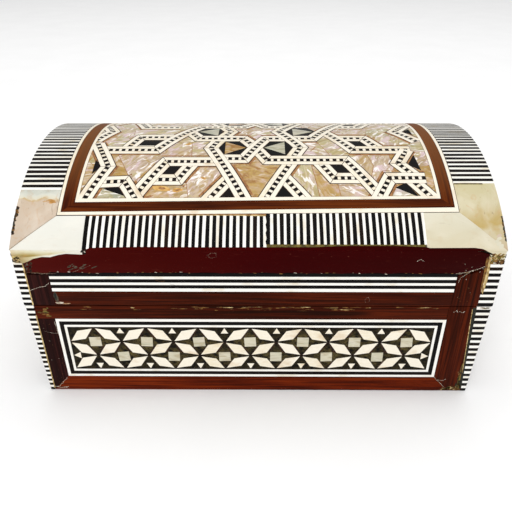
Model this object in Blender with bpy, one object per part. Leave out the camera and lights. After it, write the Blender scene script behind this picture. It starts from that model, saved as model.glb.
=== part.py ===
"""Inlaid wooden box with a barrel lid: every separate piece as its own solid.

Metres, +Z up, the front faces -Y. The lid turns on the line LID_HINGE at the back.
Lengths in this file are written in millimetres and scaled by MM.
"""
import math

import bmesh
import bpy
from mathutils import Matrix, Vector

MM = 0.001
GAP = 0.3                 # clearance between touching pieces

# outside of the box
LID_HALF_LENGTH = 79.5
BODY_HALF_TOP = 79.2      # half length of the body at the seam
BODY_HALF_FOOT = 77.8     # half length of the body at the table
HALF_DEPTH = 52.67
BODY_TOP = 38.65
LID_BOTTOM = 38.95
CREST_RADIUS = 75.5       # barrel of the lid
CREST_AXIS = 6.5          # height of the barrel's axis
MITRE_OUT, MITRE_IN = 60.18, 58.94    # upright skins end here, on the face and one skin in

# layers, measured inward from the outside surface
SKIN = 1.2                # veneers, inlay sheets and corner sticks
CARCASS = SKIN + GAP
BOARD = 5.0
END_INSIDE = 71.0         # inner face of the end boards
TOP_BOARD = 4.5
LINING = 1.0
FLOOR = 4.0

# front inlay panel
PANEL_LEFT, PANEL_RIGHT = -69.9, 64.9
PANEL_LOW, PANEL_HIGH = 6.7, 33.1
BORDER = 3.7
END_PANEL_HALF = 40.15
END_VENEER_HALF = 47.4

# front of the lid, from the seam upward
LID_RAIL_TOP = 44.5
LINES_LOW, LINES_HIGH = 44.8, 50.9
BAND_LOW = 51.2

# inlay frame on the lid, half sizes measured along the curve
FRAME_X, FRAME_S = 65.7, 45.9
OUTER_LINE, BROWN_LINE, INNER_LINE = 1.35, 3.55, 1.5
SHOULDER = CREST_RADIUS * math.asin(HALF_DEPTH / CREST_RADIUS)

# lid hinge
HINGE_Y, HINGE_Z = 50.67, 38.8
HINGE_X = (-45.0, 45.0)
LEAF_HALF = 8.0
KNUCKLE, BORE, PIN = 1.3, 0.8, 0.45
LEAF, LEAF_FRONT = 0.7, 46.6          # thickness and front edge of a leaf
SCREW_X, SCREW_Y = 4.5, 47.9
SCREW_LENGTH = 3.0

STEP = math.radians(3.0) * CREST_RADIUS

COLOURS = {
    "mahogany": ((0.16, 0.035, 0.014), 0.35, 0.0),
    "dark_wood": ((0.06, 0.02, 0.02), 0.4, 0.0),
    "carcass": ((0.36, 0.19, 0.09), 0.6, 0.0),
    "red_lacquer": ((0.10, 0.004, 0.003), 0.15, 0.0),
    "bone": ((0.86, 0.80, 0.66), 0.35, 0.0),
    "striped": ((0.35, 0.34, 0.32), 0.35, 0.0),
    "pearl": ((0.78, 0.72, 0.60), 0.2, 0.0),
    "mosaic": ((0.45, 0.38, 0.30), 0.3, 0.0),
    "velvet": ((0.20, 0.006, 0.012), 0.95, 0.0),
    "brass": ((0.70, 0.48, 0.18), 0.3, 1.0),
}


def material(kind):
    made = bpy.data.materials.get(kind)
    if made is None:
        colour, roughness, metallic = COLOURS[kind]
        made = bpy.data.materials.new(kind)
        made.use_nodes = True
        shader = made.node_tree.nodes["Principled BSDF"]
        shader.inputs["Base Color"].default_value = (*colour, 1.0)
        shader.inputs["Roughness"].default_value = roughness
        shader.inputs["Metallic"].default_value = metallic
        made.diffuse_color = (*colour, 1.0)
    return made


def add_object(name, bm, kind, smooth=False):
    bmesh.ops.remove_doubles(bm, verts=bm.verts, dist=0.00001)
    bmesh.ops.recalc_face_normals(bm, faces=bm.faces)
    mesh = bpy.data.meshes.new(name)
    bm.to_mesh(mesh)
    bm.free()
    obj = bpy.data.objects.new(name, mesh)
    bpy.context.scene.collection.objects.link(obj)
    own = material(kind).copy()
    own.name = name
    mesh.materials.append(own)
    if smooth:
        mesh.shade_smooth()
    return obj


# ---- where a layer lies: (across, up, inward) to a point in space

def on_front(u, v, t):
    return Vector((u, t - HALF_DEPTH, v))


def on_front_under_shoulder(u, v, t):
    """The top edge is mitred against the barrel sheets."""
    if v > 58.0:
        v -= t * 1.03
    return Vector((u, t - HALF_DEPTH, v))


def end_of_body(z):
    return BODY_HALF_FOOT + (BODY_HALF_TOP - BODY_HALF_FOOT) * z / BODY_TOP


def on_body_end(side):
    return lambda u, v, t: Vector((side * (end_of_body(v) - t), u, v))


def on_lid_end(side):
    return lambda u, v, t: Vector((side * (LID_HALF_LENGTH - t), u, v))


def across(u, v, t):
    """A profile (depth, height) run along the length."""
    return Vector((t, u, v))


def in_plan(u, v, t):
    return Vector((u, v, t))


def on_barrel(u, v, t):
    """v runs along the curve from the crest to the front."""
    angle = v / CREST_RADIUS
    radius = CREST_RADIUS - t
    return Vector((u, -radius * math.sin(angle), CREST_AXIS + radius * math.cos(angle)))


def layer(name, outline, t0, t1, place, kind, hole=None, curved=False):
    """A sheet or board: an outline in its own plane, thickened from t0 to t1."""
    bm = bmesh.new()
    ring = [bm.verts.new((u, v, 0.0)) for u, v in outline]
    if hole is None:
        bm.faces.new(ring)
    else:
        inner = [bm.verts.new((u, v, 0.0)) for u, v in hole]
        for i in range(len(ring)):
            j = (i + 1) % len(ring)
            bm.faces.new((ring[i], ring[j], inner[j], inner[i]))
    if curved:
        points = list(outline) + list(hole or [])
        heights = sorted({v for _, v in points})
        cuts = set(heights[1:-1])
        steps = math.ceil((heights[-1] - heights[0]) / STEP)
        cuts.update(heights[0] + (heights[-1] - heights[0]) * i / steps for i in range(1, steps))
        for cut in sorted(cuts):
            bmesh.ops.bisect_plane(
                bm, geom=bm.verts[:] + bm.edges[:] + bm.faces[:],
                plane_co=(0.0, cut, 0.0), plane_no=(0.0, 1.0, 0.0), dist=0.0001)
    made = bmesh.ops.extrude_face_region(bm, geom=bm.faces[:])
    raised = {v for v in made["geom"] if isinstance(v, bmesh.types.BMVert)}
    for vert in bm.verts:
        depth = t1 if vert in raised else t0
        vert.co = place(vert.co.x, vert.co.y, depth) * MM
    return add_object(name, bm, kind)


def rectangle(u0, u1, v0, v1):
    return [(u0, v0), (u1, v0), (u1, v1), (u0, v1)]


def loft(name, low, high, kind, top_faces=None):
    """A corner stick: two rings of points joined, with the top split where it folds."""
    bm = bmesh.new()
    count = len(low)
    below = [bm.verts.new(Vector(point) * MM) for point in low]
    above = [bm.verts.new(Vector(point) * MM) for point in high]
    bm.faces.new(below)
    for face in top_faces or [range(count)]:
        bm.faces.new([above[i] for i in face])
    for i in range(count):
        j = (i + 1) % count
        bm.faces.new((below[i], below[j], above[j], above[i]))
    return add_object(name, bm, kind)


def block(name, low, high, kind="carcass"):
    bm = bmesh.new()
    bmesh.ops.create_cube(bm, size=1.0)
    for vert in bm.verts:
        vert.co = Vector([(low[i] if vert.co[i] < 0 else high[i]) * MM for i in range(3)])
    return add_object(name, bm, kind)


def rod(name, radius, x0, x1, y, z, kind="carcass", sides=24):
    bm = bmesh.new()
    bmesh.ops.create_cone(
        bm, cap_ends=True, segments=sides, radius1=radius * MM, radius2=radius * MM,
        depth=(x1 - x0) * MM)
    for vert in bm.verts:
        x, along = vert.co.x, vert.co.z
        vert.co = Vector((along + (x0 + x1) / 2 * MM, x + y * MM, vert.co.y + z * MM))
    return add_object(name, bm, kind)


def screw(name, x, y, z0, z1, radius=0.45):
    bm = bmesh.new()
    bmesh.ops.create_cone(
        bm, cap_ends=True, segments=12, radius1=radius * MM, radius2=radius * MM,
        depth=(z1 - z0) * MM)
    bmesh.ops.translate(bm, vec=Vector((x, y, (z0 + z1) / 2)) * MM, verts=bm.verts)
    return add_object(name, bm, "carcass")


def boolean(target, tool, operation, keep=False):
    """Apply an exact boolean and drop the tool."""
    change = target.modifiers.new("boolean", "BOOLEAN")
    change.operation = operation
    change.solver = "EXACT"
    change.object = tool
    bpy.context.view_layer.update()
    shape = bpy.data.meshes.new_from_object(
        target.evaluated_get(bpy.context.evaluated_depsgraph_get()))
    old = target.data
    own = old.materials[0]
    target.modifiers.clear()
    target.data = shape
    shape.name = target.name
    shape.materials.clear()
    shape.materials.append(own)
    bpy.data.meshes.remove(old)
    if not keep:
        bpy.data.objects.remove(tool)


def cut(target, tool, keep=False):
    boolean(target, tool, "DIFFERENCE", keep)


def join(target, tool):
    boolean(target, tool, "UNION")


def arch(radius, y0, y1):
    """Points on the barrel from y0 to y1, every three degrees."""
    a0, a1 = math.asin(y0 / radius), math.asin(y1 / radius)
    steps = math.ceil(abs(a1 - a0) / math.radians(3.0))
    angles = [a0 + (a1 - a0) * i / steps for i in range(steps + 1)]
    return [(radius * math.sin(a), CREST_AXIS + radius * math.cos(a)) for a in angles]


for leftover in list(bpy.data.objects):
    bpy.data.objects.remove(leftover)

inside_y = HALF_DEPTH - CARCASS - BOARD
carcass_y = HALF_DEPTH - CARCASS
foot, rim = BODY_HALF_FOOT - CARCASS, BODY_HALF_TOP - CARCASS

# ---- body carcass
block("bottom_board", (GAP - END_INSIDE, GAP - inside_y, 0.0),
      (END_INSIDE - GAP, inside_y - GAP, FLOOR))
layer("front_board", [(-foot, 0.0), (foot, 0.0), (rim, BODY_TOP), (-rim, BODY_TOP)],
      CARCASS, CARCASS + BOARD, on_front, "carcass")
back_board = block("back_board", (GAP - END_INSIDE, inside_y, 0.0),
                   (END_INSIDE - GAP, HALF_DEPTH, BODY_TOP), "mahogany")
end_boards = []
for side, word in ((-1, "left"), (1, "right")):
    bm = bmesh.new()
    corners = []
    for y in (GAP - inside_y, carcass_y):
        for x, z in ((END_INSIDE, 0.0), (foot, 0.0), (rim, BODY_TOP), (END_INSIDE, BODY_TOP)):
            corners.append(bm.verts.new(Vector((side * x, y, z)) * MM))
    bm.faces.new(corners[:4])
    bm.faces.new(corners[4:])
    for i in range(4):
        j = (i + 1) % 4
        bm.faces.new((corners[i], corners[j], corners[j + 4], corners[i + 4]))
    end_boards.append(add_object(word + "_end_board", bm, "carcass"))

# ---- front of the body: rails, posts, inlay border and mosaic
post_l, post_r = -76.0, 74.0
half = GAP / 2
layer("front_top_rail",
      rectangle(post_l, PANEL_RIGHT - half, PANEL_HIGH + half, BODY_TOP),
      0.0, SKIN, on_front, "mahogany")
layer("front_left_post",
      [(-76.1, 0.3), (PANEL_LEFT - half, PANEL_LOW), (PANEL_LEFT - half, PANEL_HIGH - half),
       (post_l, PANEL_HIGH - half)],
      0.0, SKIN, on_front, "dark_wood")
layer("front_right_post",
      [(70.9, 0.0), (75.8, 0.0), (post_r, BODY_TOP), (PANEL_RIGHT + half, BODY_TOP),
       (PANEL_RIGHT + half, PANEL_LOW)],
      0.0, SKIN, on_front, "mahogany")
layer("front_bottom_rail",
      [(-75.9, 0.0), (70.5, 0.0), (PANEL_RIGHT - half, PANEL_LOW - half),
       (PANEL_LEFT + half, PANEL_LOW - half)],
      0.0, SKIN, on_front, "mahogany")
layer("front_inlay_border",
      rectangle(PANEL_LEFT + half, PANEL_RIGHT - half, PANEL_LOW + half, PANEL_HIGH - half),
      0.0, SKIN, on_front, "bone",
      hole=rectangle(PANEL_LEFT + BORDER, PANEL_RIGHT - BORDER,
                     PANEL_LOW + BORDER, PANEL_HIGH - BORDER))
layer("front_mosaic",
      rectangle(PANEL_LEFT + BORDER + GAP, PANEL_RIGHT - BORDER - GAP,
                PANEL_LOW + BORDER + GAP, PANEL_HIGH - BORDER - GAP),
      0.0, SKIN, on_front, "mosaic")

# ---- body ends
for side, word in ((-1, "left"), (1, "right")):
    layer(word + "_end_veneer", rectangle(-END_VENEER_HALF, END_VENEER_HALF, 0.0, BODY_TOP),
          0.0, SKIN, on_body_end(side), "mahogany",
          hole=rectangle(-END_PANEL_HALF, END_PANEL_HALF, PANEL_LOW, PANEL_HIGH))
    layer(word + "_end_mosaic",
          rectangle(GAP - END_PANEL_HALF, END_PANEL_HALF - GAP,
                    PANEL_LOW + GAP, PANEL_HIGH - GAP),
          0.0, SKIN, on_body_end(side), "mosaic")

# ---- corner sticks: laminated black and white, wrapped round each corner
STICK_END = 5.0
front_y, skin_y, stick_y = HALF_DEPTH, HALF_DEPTH - SKIN, HALF_DEPTH - STICK_END
stick_inner = {  # inner edge on the face: (body foot, body top, lid)
    ("front", "left"): (76.35, 76.3, 76.4),
    ("front", "right"): (76.1, 74.3, 74.4),
    ("back", "left"): (END_INSIDE, END_INSIDE, END_INSIDE),
    ("back", "right"): (END_INSIDE, END_INSIDE, END_INSIDE),
}


def stick_ring(side, face, outer, inner, heights):
    """The seven corners of a stick: heights are (on the face, behind it)."""
    plan = [(outer, front_y), (outer, skin_y), (outer, stick_y), (outer - SKIN, stick_y),
            (outer - SKIN, skin_y), (inner, skin_y), (inner, front_y)]
    on_face = (0, 6)
    return [(side * x, face * y, heights[0] if i in on_face else heights[1])
            for i, (x, y) in enumerate(plan)]


back_sticks = []
folded = ([0, 1, 4, 5, 6], [1, 2, 3, 4])
for (row, word), (at_foot, at_rim, on_lid) in stick_inner.items():
    side = -1 if word == "left" else 1
    face = -1 if row == "front" else 1
    body_stick = loft(
        f"body_corner_stick_{row}_{word}",
        stick_ring(side, face, BODY_HALF_FOOT, at_foot, (0.0, 0.0)),
        stick_ring(side, face, BODY_HALF_TOP, at_rim, (BODY_TOP, BODY_TOP)), "striped")
    lid_stick = loft(
        f"lid_corner_stick_{row}_{word}",
        stick_ring(side, face, LID_HALF_LENGTH, on_lid, (LID_BOTTOM, LID_BOTTOM)),
        stick_ring(side, face, LID_HALF_LENGTH, on_lid, (MITRE_OUT, MITRE_IN)), "striped", folded)
    if row == "back":
        back_sticks += [body_stick, lid_stick]

# ---- velvet in the body: one tray
lining = block("body_velvet_lining", (GAP - END_INSIDE, GAP - inside_y, FLOOR + GAP),
               (END_INSIDE - GAP, inside_y - GAP, BODY_TOP - GAP), "velvet")
cut(lining, block("cutter", (GAP + LINING - END_INSIDE, GAP + LINING - inside_y, FLOOR + GAP + 1.5),
                  (END_INSIDE - GAP - LINING, inside_y - GAP - LINING, BODY_TOP + 5.0)))

# ---- lid carcass
top_out = CREST_RADIUS - CARCASS
top_in = top_out - TOP_BOARD
under = top_in - GAP
layer("lid_front_board",
      [(-carcass_y, LID_BOTTOM), (-inside_y, LID_BOTTOM), (-inside_y, 57.7), (-carcass_y, 52.8)],
      CARCASS - LID_HALF_LENGTH, LID_HALF_LENGTH - CARCASS, across, "carcass")
lid_back_board = layer(
    "lid_back_board",
    [(inside_y, LID_BOTTOM), (HALF_DEPTH, LID_BOTTOM), (HALF_DEPTH, MITRE_OUT), (skin_y, MITRE_IN),
     (skin_y, 52.5), (inside_y, 57.5)],
    GAP - END_INSIDE, END_INSIDE - GAP, across, "mahogany")
lid_ends = []
eaves, arch_end = 59.25, 51.3         # where the end veneers reach out over the corner sticks
for side, word in ((-1, "left"), (1, "right")):
    profile = [(GAP - inside_y, LID_BOTTOM), (carcass_y, LID_BOTTOM)]
    profile += arch(under, carcass_y, GAP - inside_y)
    lid_ends.append(layer(f"lid_{word}_end_board", profile, CARCASS,
                          LID_HALF_LENGTH - END_INSIDE, on_lid_end(side), "carcass"))
    profile = [(-END_VENEER_HALF, LID_BOTTOM), (END_VENEER_HALF, LID_BOTTOM), (END_VENEER_HALF, eaves)]
    profile += arch(top_out, arch_end, -arch_end)
    profile += [(-END_VENEER_HALF, eaves)]
    layer(f"lid_{word}_end_veneer", profile, 0.0, SKIN, on_lid_end(side), "mahogany")

layer("lid_top_board", arch(top_out, -carcass_y, carcass_y) + arch(top_in, carcass_y, -carcass_y),
      CARCASS - LID_HALF_LENGTH, LID_HALF_LENGTH - CARCASS, across, "carcass")

# ---- front of the lid
strip_l, strip_r = -68.5, 65.1
lid_l, lid_r = -76.1, 74.1
layer("lid_front_rail", rectangle(strip_l, strip_r, LID_BOTTOM, LID_RAIL_TOP),
      0.0, SKIN, on_front, "mahogany")
layer("lid_line_inlay", rectangle(strip_l, strip_r, LINES_LOW, LINES_HIGH),
      0.0, SKIN, on_front, "bone")
layer("lid_left_post", rectangle(lid_l, strip_l - GAP, LID_BOTTOM, LINES_HIGH),
      0.0, SKIN, on_front, "dark_wood")
layer("lid_right_post", rectangle(strip_r + GAP, lid_r, LID_BOTTOM, LINES_HIGH),
      0.0, SKIN, on_front, "mahogany")
layer("lid_red_band", rectangle(lid_l, lid_r, BAND_LOW, MITRE_OUT),
      0.0, SKIN, on_front_under_shoulder, "red_lacquer")

# ---- sheets glued on the barrel
x0, s0 = FRAME_X, FRAME_S
for name, width, kind in (("top_outer_bone_line", OUTER_LINE, "bone"),
                          ("top_mahogany_frame", BROWN_LINE, "mahogany"),
                          ("top_inner_bone_line", INNER_LINE, "bone")):
    x1, s1 = x0 - width + GAP, s0 - width + GAP
    layer(name, rectangle(-x0, x0, -s0, s0), 0.0, SKIN, on_barrel, kind,
          hole=rectangle(-x1, x1, -s1, s1), curved=True)
    x0, s0 = x0 - width, s0 - width
layer("top_mosaic", rectangle(-x0, x0, -s0, s0), 0.0, SKIN, on_barrel, "mosaic", curved=True)

near_x, near_s = FRAME_X + GAP, FRAME_S + GAP
for word, low_x, high_x, face in (("front_left", -56.0, 2.7, 1), ("front_right", 3.0, 53.9, 1),
                                  ("back", -55.0, 55.0, -1)):
    band = sorted((face * near_s, face * SHOULDER))
    layer("shoulder_stripes_" + word, rectangle(low_x, high_x, *band),
          0.0, SKIN, on_barrel, "striped", curved=True)
block_edge = {("front", -1): 56.3, ("front", 1): 54.2, ("back", -1): 55.3, ("back", 1): 55.3}
for side, word, reach in ((-1, "left", 36.0), (1, "right", 33.0)):
    layer("end_stripes_" + word, rectangle(*sorted((side * near_x, side * LID_HALF_LENGTH)),
                                           -reach, reach),
          0.0, SKIN, on_barrel, "striped", curved=True)
    for face, row in ((1, "front"), (-1, "back")):
        edge = block_edge[(row, side)]
        corner_x, corner_s = LID_HALF_LENGTH, SHOULDER
        end_block = [(near_x, reach + GAP), (corner_x, reach + GAP), (corner_x, corner_s - GAP),
                     (near_x, near_s - GAP)]
        face_block = [(near_x, near_s), (edge, near_s), (edge, corner_s),
                      (corner_x - half, corner_s)]
        for kind_word, outline in (("end", end_block), ("face", face_block)):
            layer(f"pearl_{kind_word}_block_{row}_{word}",
                  [(side * x, face * s) for x, s in outline],
                  0.0, SKIN, on_barrel, "pearl", curved=True)

# ---- velvet in the lid: one cap
outer_y, inner_y = inside_y - GAP, inside_y - GAP - LINING
lid_lining = layer(
    "lid_velvet_lining",
    [(-outer_y, LID_BOTTOM + GAP), (outer_y, LID_BOTTOM + GAP)] + arch(under, outer_y, -outer_y),
    GAP - END_INSIDE, END_INSIDE - GAP, across, "velvet")
hollow = layer(
    "cutter", [(-inner_y, LID_BOTTOM - 5.0), (inner_y, LID_BOTTOM - 5.0)]
    + arch(under - LINING, inner_y, -inner_y),
    GAP + LINING - END_INSIDE, END_INSIDE - GAP - LINING, across, "velvet")
cut(lid_lining, hollow)

# ---- the back edges are bevelled so the lid can lean back, and let in for the hinges
bevel = layer("cutter", [(HINGE_Y - 0.2, HINGE_Z), (54.0, HINGE_Z - 4.3), (54.0, HINGE_Z + 4.3)],
              -85.0, 85.0, across, "carcass")
for piece in [back_board, lid_back_board] + end_boards + lid_ends + back_sticks:
    cut(piece, bevel, keep=True)
bpy.data.objects.remove(bevel)

body_bed = BODY_TOP - LEAF - GAP      # floor of the leaves' beds in the body
lid_bed = LID_BOTTOM + LEAF + GAP     # and their ceiling in the lid
beds = ((back_board, (body_bed, 41.0), (body_bed - SCREW_LENGTH - 0.5, body_bed + 1.0)),
        (lid_back_board, (36.0, lid_bed), (lid_bed - 1.0, lid_bed + SCREW_LENGTH + 0.5)))
for centre in HINGE_X:
    for board, bed, hole in beds:
        cut(board, block("cutter", (centre - LEAF_HALF - GAP, 45.0, bed[0]),
                         (centre + LEAF_HALF + GAP, HINGE_Y, bed[1])))
        cut(board, rod("cutter", KNUCKLE + GAP, centre - LEAF_HALF - 2 * GAP,
                       centre + LEAF_HALF + 2 * GAP, HINGE_Y, HINGE_Z))
        for x in (centre - SCREW_X, centre + SCREW_X):
            cut(board, screw("cutter", x, SCREW_Y, *hole, 0.8))

lid_hinge = bpy.data.objects.new("LID_HINGE", None)
lid_hinge.location = Vector((0.0, HINGE_Y, HINGE_Z)) * MM
bpy.context.scene.collection.objects.link(lid_hinge)

# each leaf: (body or lid, its underside, its knuckles, the span of its screws above the underside)
leaves = (("body", BODY_TOP - LEAF, ((-LEAF_HALF, -2.9), (2.9, LEAF_HALF)), (-SCREW_LENGTH, 0.3)),
          ("lid", LID_BOTTOM, ((-2.6, 2.6),), (LEAF - 0.3, LEAF + SCREW_LENGTH - 0.7)))
for centre, word in zip(HINGE_X, ("left", "right")):
    for owner, low, knuckles, screw_span in leaves:
        leaf = block(f"hinge_leaf_{owner}_{word}", (centre - LEAF_HALF, LEAF_FRONT, low),
                     (centre + LEAF_HALF, HINGE_Y - KNUCKLE - GAP, low + LEAF), "brass")
        for a, b in knuckles:
            join(leaf, block("tool", (centre + a, LEAF_FRONT + 1.0, low),
                             (centre + b, HINGE_Y, low + LEAF)))
            join(leaf, rod("tool", KNUCKLE, centre + a, centre + b, HINGE_Y, HINGE_Z))
        for x in (centre - SCREW_X, centre + SCREW_X):
            join(leaf, screw("tool", x, SCREW_Y, low + screw_span[0], low + screw_span[1]))
        cut(leaf, rod("cutter", BORE, centre - 10.0, centre + 10.0, HINGE_Y, HINGE_Z))
    rod(f"hinge_pin_{word}", PIN, centre - LEAF_HALF - 0.2, centre + LEAF_HALF + 0.2,
        HINGE_Y, HINGE_Z, "brass", 16)

for obj in list(bpy.data.objects):
    moves = (obj.name.startswith(("lid_", "top_", "shoulder_", "end_stripes", "pearl_"))
             or obj.name.startswith("hinge_leaf_lid"))
    if moves and obj.type == "MESH":
        obj.data.transform(Matrix.Translation(-lid_hinge.location))
        obj.parent = lid_hinge
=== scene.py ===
"""Looks for the inlaid wooden box: every strip, tile and veneer is its own small solid, laid over the frame.

Flat pieces are drawn in the plane of the face they cover, as (u, v) in millimetres with a height w above it,
and are then bent onto the box. The pattern of the lid is drawn in modules: one black and one white strip.
"""
import math
import random

import bmesh
import bpy
from mathutils import Matrix, Vector


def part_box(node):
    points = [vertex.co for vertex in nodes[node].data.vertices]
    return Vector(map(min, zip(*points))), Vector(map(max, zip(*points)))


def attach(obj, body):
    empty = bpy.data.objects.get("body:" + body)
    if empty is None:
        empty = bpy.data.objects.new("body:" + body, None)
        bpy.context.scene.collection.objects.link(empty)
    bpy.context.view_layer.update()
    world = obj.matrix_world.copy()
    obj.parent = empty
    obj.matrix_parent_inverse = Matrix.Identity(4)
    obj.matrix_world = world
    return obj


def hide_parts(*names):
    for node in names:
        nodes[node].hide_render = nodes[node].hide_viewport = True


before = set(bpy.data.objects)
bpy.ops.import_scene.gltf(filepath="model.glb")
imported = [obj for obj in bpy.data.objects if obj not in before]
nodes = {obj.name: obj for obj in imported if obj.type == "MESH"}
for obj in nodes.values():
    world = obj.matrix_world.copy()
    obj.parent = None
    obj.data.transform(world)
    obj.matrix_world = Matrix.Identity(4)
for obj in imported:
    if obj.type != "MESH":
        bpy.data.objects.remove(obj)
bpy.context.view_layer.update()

MM = 0.001
MODULE = 2.2              # one black and one white strip of laminate
X, Y, Z = 0, 1, 2
dice = random.Random(41)
between = dice.uniform


def span(node, axis):
    """Lowest and highest coordinate of a CAD node along one axis, in millimetres."""
    low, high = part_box(node)
    return low[axis] / MM, high[axis] / MM


SKIN = 1.2                # thickness of every veneer and inlay sheet
THIN = 0.6                # thickness of the pieces laid on the lid's bed
FLECK = 0.4               # thickness of dust and scratches
LIFT = 0.02               # how unevenly neighbouring pieces stand
BODY_HALF_FOOT = 77.8     # the body narrows a little towards the table
BODY_HALF_TOP = span("body_corner_stick_front_right", X)[1]
BODY_TOP = span("front_board", Z)[1]
LID_BOTTOM = span("lid_front_board", Z)[0]
LID_HALF = span("lid_right_end_veneer", X)[1]
HALF_DEPTH = -span("front_mosaic", Y)[0]
FRAME_EDGE = span("top_outer_bone_line", X)[1]
CREST_RADIUS = 75.5
CREST_AXIS = span("top_mosaic", Z)[1] - CREST_RADIUS
SHOULDER = CREST_RADIUS * math.asin(HALF_DEPTH / CREST_RADIUS)
SHOULDER_Z = CREST_AXIS + math.sqrt(CREST_RADIUS ** 2 - HALF_DEPTH ** 2)
BAND_TOP = SHOULDER_Z - 0.05
CREST_SHEEN_HEIGHTS = (71.5, 83.0)                 # heights between which the frame's wood is painted paler: a painted sheen towards the crest
LINES_LOW, LINES_HIGH = 44.62, 51.0       # the five lines across the lid's front and ends
STRIP_REACH = {"left": 36.1, "right": 33.1}   # how far the end strips come down from the crest
FRAME_REACH = 46.0        # how far the lid's frame comes down from the crest
BAND_CLIMB = 2.3          # how far the red band's lower edge climbs over the right post
LACQUER_RISE = 1.1        # how far the red lacquer comes up over the front shoulder
SIDES = ((-1, "left"), (1, "right"))
STICK_EDGE = {            # inner edge of each corner stick on the face, at (body's foot, body's rim, lid)
    ("front", "left"): (76.25, 76.2, 76.3),
    ("front", "right"): (75.95, 74.15, 74.25),
    ("back", "left"): (71.0, 71.0, 71.0),
    ("back", "right"): (71.0, 71.0, 71.0),
}


# ---- materials ------------------------------------------------------------

def srgb(code):
    """A colour such as "6e230f" as linear light."""
    parts = [int(code[i:i + 2], 16) / 255 for i in (0, 2, 4)]
    return [c / 12.92 if c < 0.04045 else ((c + 0.055) / 1.055) ** 2.4 for c in parts] + [1.0]


class Paint:
    """A material with its node network. Texture space is in millimetres."""

    def __init__(self, name, roughness=0.4, specular=0.3, metallic=0.0, tiled=True):
        self.made = bpy.data.materials.new(name)
        self.made.use_nodes = True
        self.tree = self.made.node_tree
        self.shader = self.tree.nodes["Principled BSDF"]
        self.set(Roughness=roughness, Metallic=metallic)
        self.shader.inputs["Specular IOR Level"].default_value = specular
        if tiled:
            self.place = self.add("ShaderNodeAttribute", attribute_name="grain").outputs["Vector"]
        else:
            self.place = self.in_object()

    def add(self, kind, inputs=(), **settings):
        node = self.tree.nodes.new(kind)
        for key, value in settings.items():
            setattr(node, key, value)
        for key, value in dict(inputs).items():
            self.feed(node.inputs[key], value)
        return node

    def feed(self, socket, value):
        if isinstance(value, bpy.types.NodeSocket):
            self.tree.links.new(value, socket)
        else:
            socket.default_value = value

    def set(self, **inputs):
        for key, value in inputs.items():
            self.feed(self.shader.inputs[key.replace("_", " ")], value)

    def scaled(self, where, scale):
        return self.add("ShaderNodeMapping", {"Vector": where, "Scale": scale}).outputs["Vector"]

    def in_object(self):
        return self.scaled(self.add("ShaderNodeTexCoord").outputs["Object"], (1 / MM, 1 / MM, 1 / MM))

    def noise(self, scale, detail=4.0, distortion=0.0):
        node = self.add("ShaderNodeTexNoise", {
            "Vector": self.scaled(self.place, scale), "Scale": 1.0, "Detail": detail,
            "Distortion": distortion})
        return node.outputs["Fac"]

    def ramp(self, fac, *stops):
        """A colour ramp from (position, colour code) pairs."""
        node = self.add("ShaderNodeValToRGB", {"Fac": fac})
        ends = node.color_ramp.elements
        while len(ends) < len(stops):
            ends.new(0.5)
        for end, (position, code) in zip(ends, stops):
            end.position = position
            end.color = srgb(code)
        return node.outputs["Color"]

    def fade(self, fac, low, high):
        """0 at low and 1 at high."""
        node = self.add("ShaderNodeMapRange", {"Value": fac, "From Min": low, "From Max": high})
        return node.outputs["Result"]

    def spots(self, low, high, scale, **noise):
        return self.fade(self.noise(scale, **noise), low, high)

    def math(self, operation, a, b):
        node = self.add("ShaderNodeMath", operation=operation)
        self.feed(node.inputs[0], a)
        self.feed(node.inputs[1], b)
        return node.outputs[0]

    def times(self, a, b):
        return self.math("MULTIPLY", a, b)

    def plus(self, a, b):
        return self.math("ADD", a, b)

    def drift(self, reach, scale, **noise):
        """A slow change either way, of about half of reach."""
        return self.times(self.math("SUBTRACT", self.noise(scale, **noise), 0.5), reach)

    def mix(self, fac, a, b):
        node = self.add("ShaderNodeMix", data_type="RGBA")
        self.feed(node.inputs["Factor"], fac)
        self.feed(node.inputs[6], srgb(a) if isinstance(a, str) else a)
        self.feed(node.inputs[7], srgb(b) if isinstance(b, str) else b)
        return node.outputs[2]

    def over(self, colour, code, mask, share):
        """Another colour laid over the first, by a share of the mask."""
        return self.mix(self.times(mask, share), colour, code)

    def part(self, where, index):
        return self.add("ShaderNodeSeparateXYZ", {"Vector": where}).outputs[index]

    def per_tile(self):
        """A random value that each tile has to itself."""
        layer = self.part(self.place, Z)
        return self.add("ShaderNodeTexWhiteNoise", {"W": layer}, noise_dimensions="1D").outputs["Value"]

    def tone(self):
        return self.add("ShaderNodeAttribute", attribute_name="tone").outputs["Fac"]

    def bump(self, height, depth_mm, strength=1.0):
        node = self.add("ShaderNodeBump", {"Height": height, "Distance": depth_mm * MM, "Strength": strength})
        self.set(Normal=node.outputs["Normal"])


def bone(name="bone", pale="efe7d6", deep="e0d0a8", stain="bd9450"):
    """Camel bone: cream, with fine pores along the piece and some old yellow stain."""
    paint = Paint(name, roughness=0.34, specular=0.2)
    streak = paint.noise((0.25, 3.0, 1.0), detail=5)
    piece = paint.plus(paint.times(paint.per_tile(), 0.5), paint.times(streak, 0.6))
    colour = paint.ramp(piece, (0.15, pale), (0.62, pale), (1.0, deep))
    colour = paint.over(colour, stain, paint.spots(0.56, 0.78, (0.12, 0.2, 1.0), detail=6), 0.55)
    colour = paint.over(colour, "8c6a40", paint.spots(0.66, 0.74, (0.9, 9.0, 1.0), detail=2), 0.35)
    paint.set(Base_Color=colour, Roughness=paint.fade(streak, -0.6, 2.4))
    paint.bump(streak, 0.03, 0.5)
    return paint.made


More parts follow.
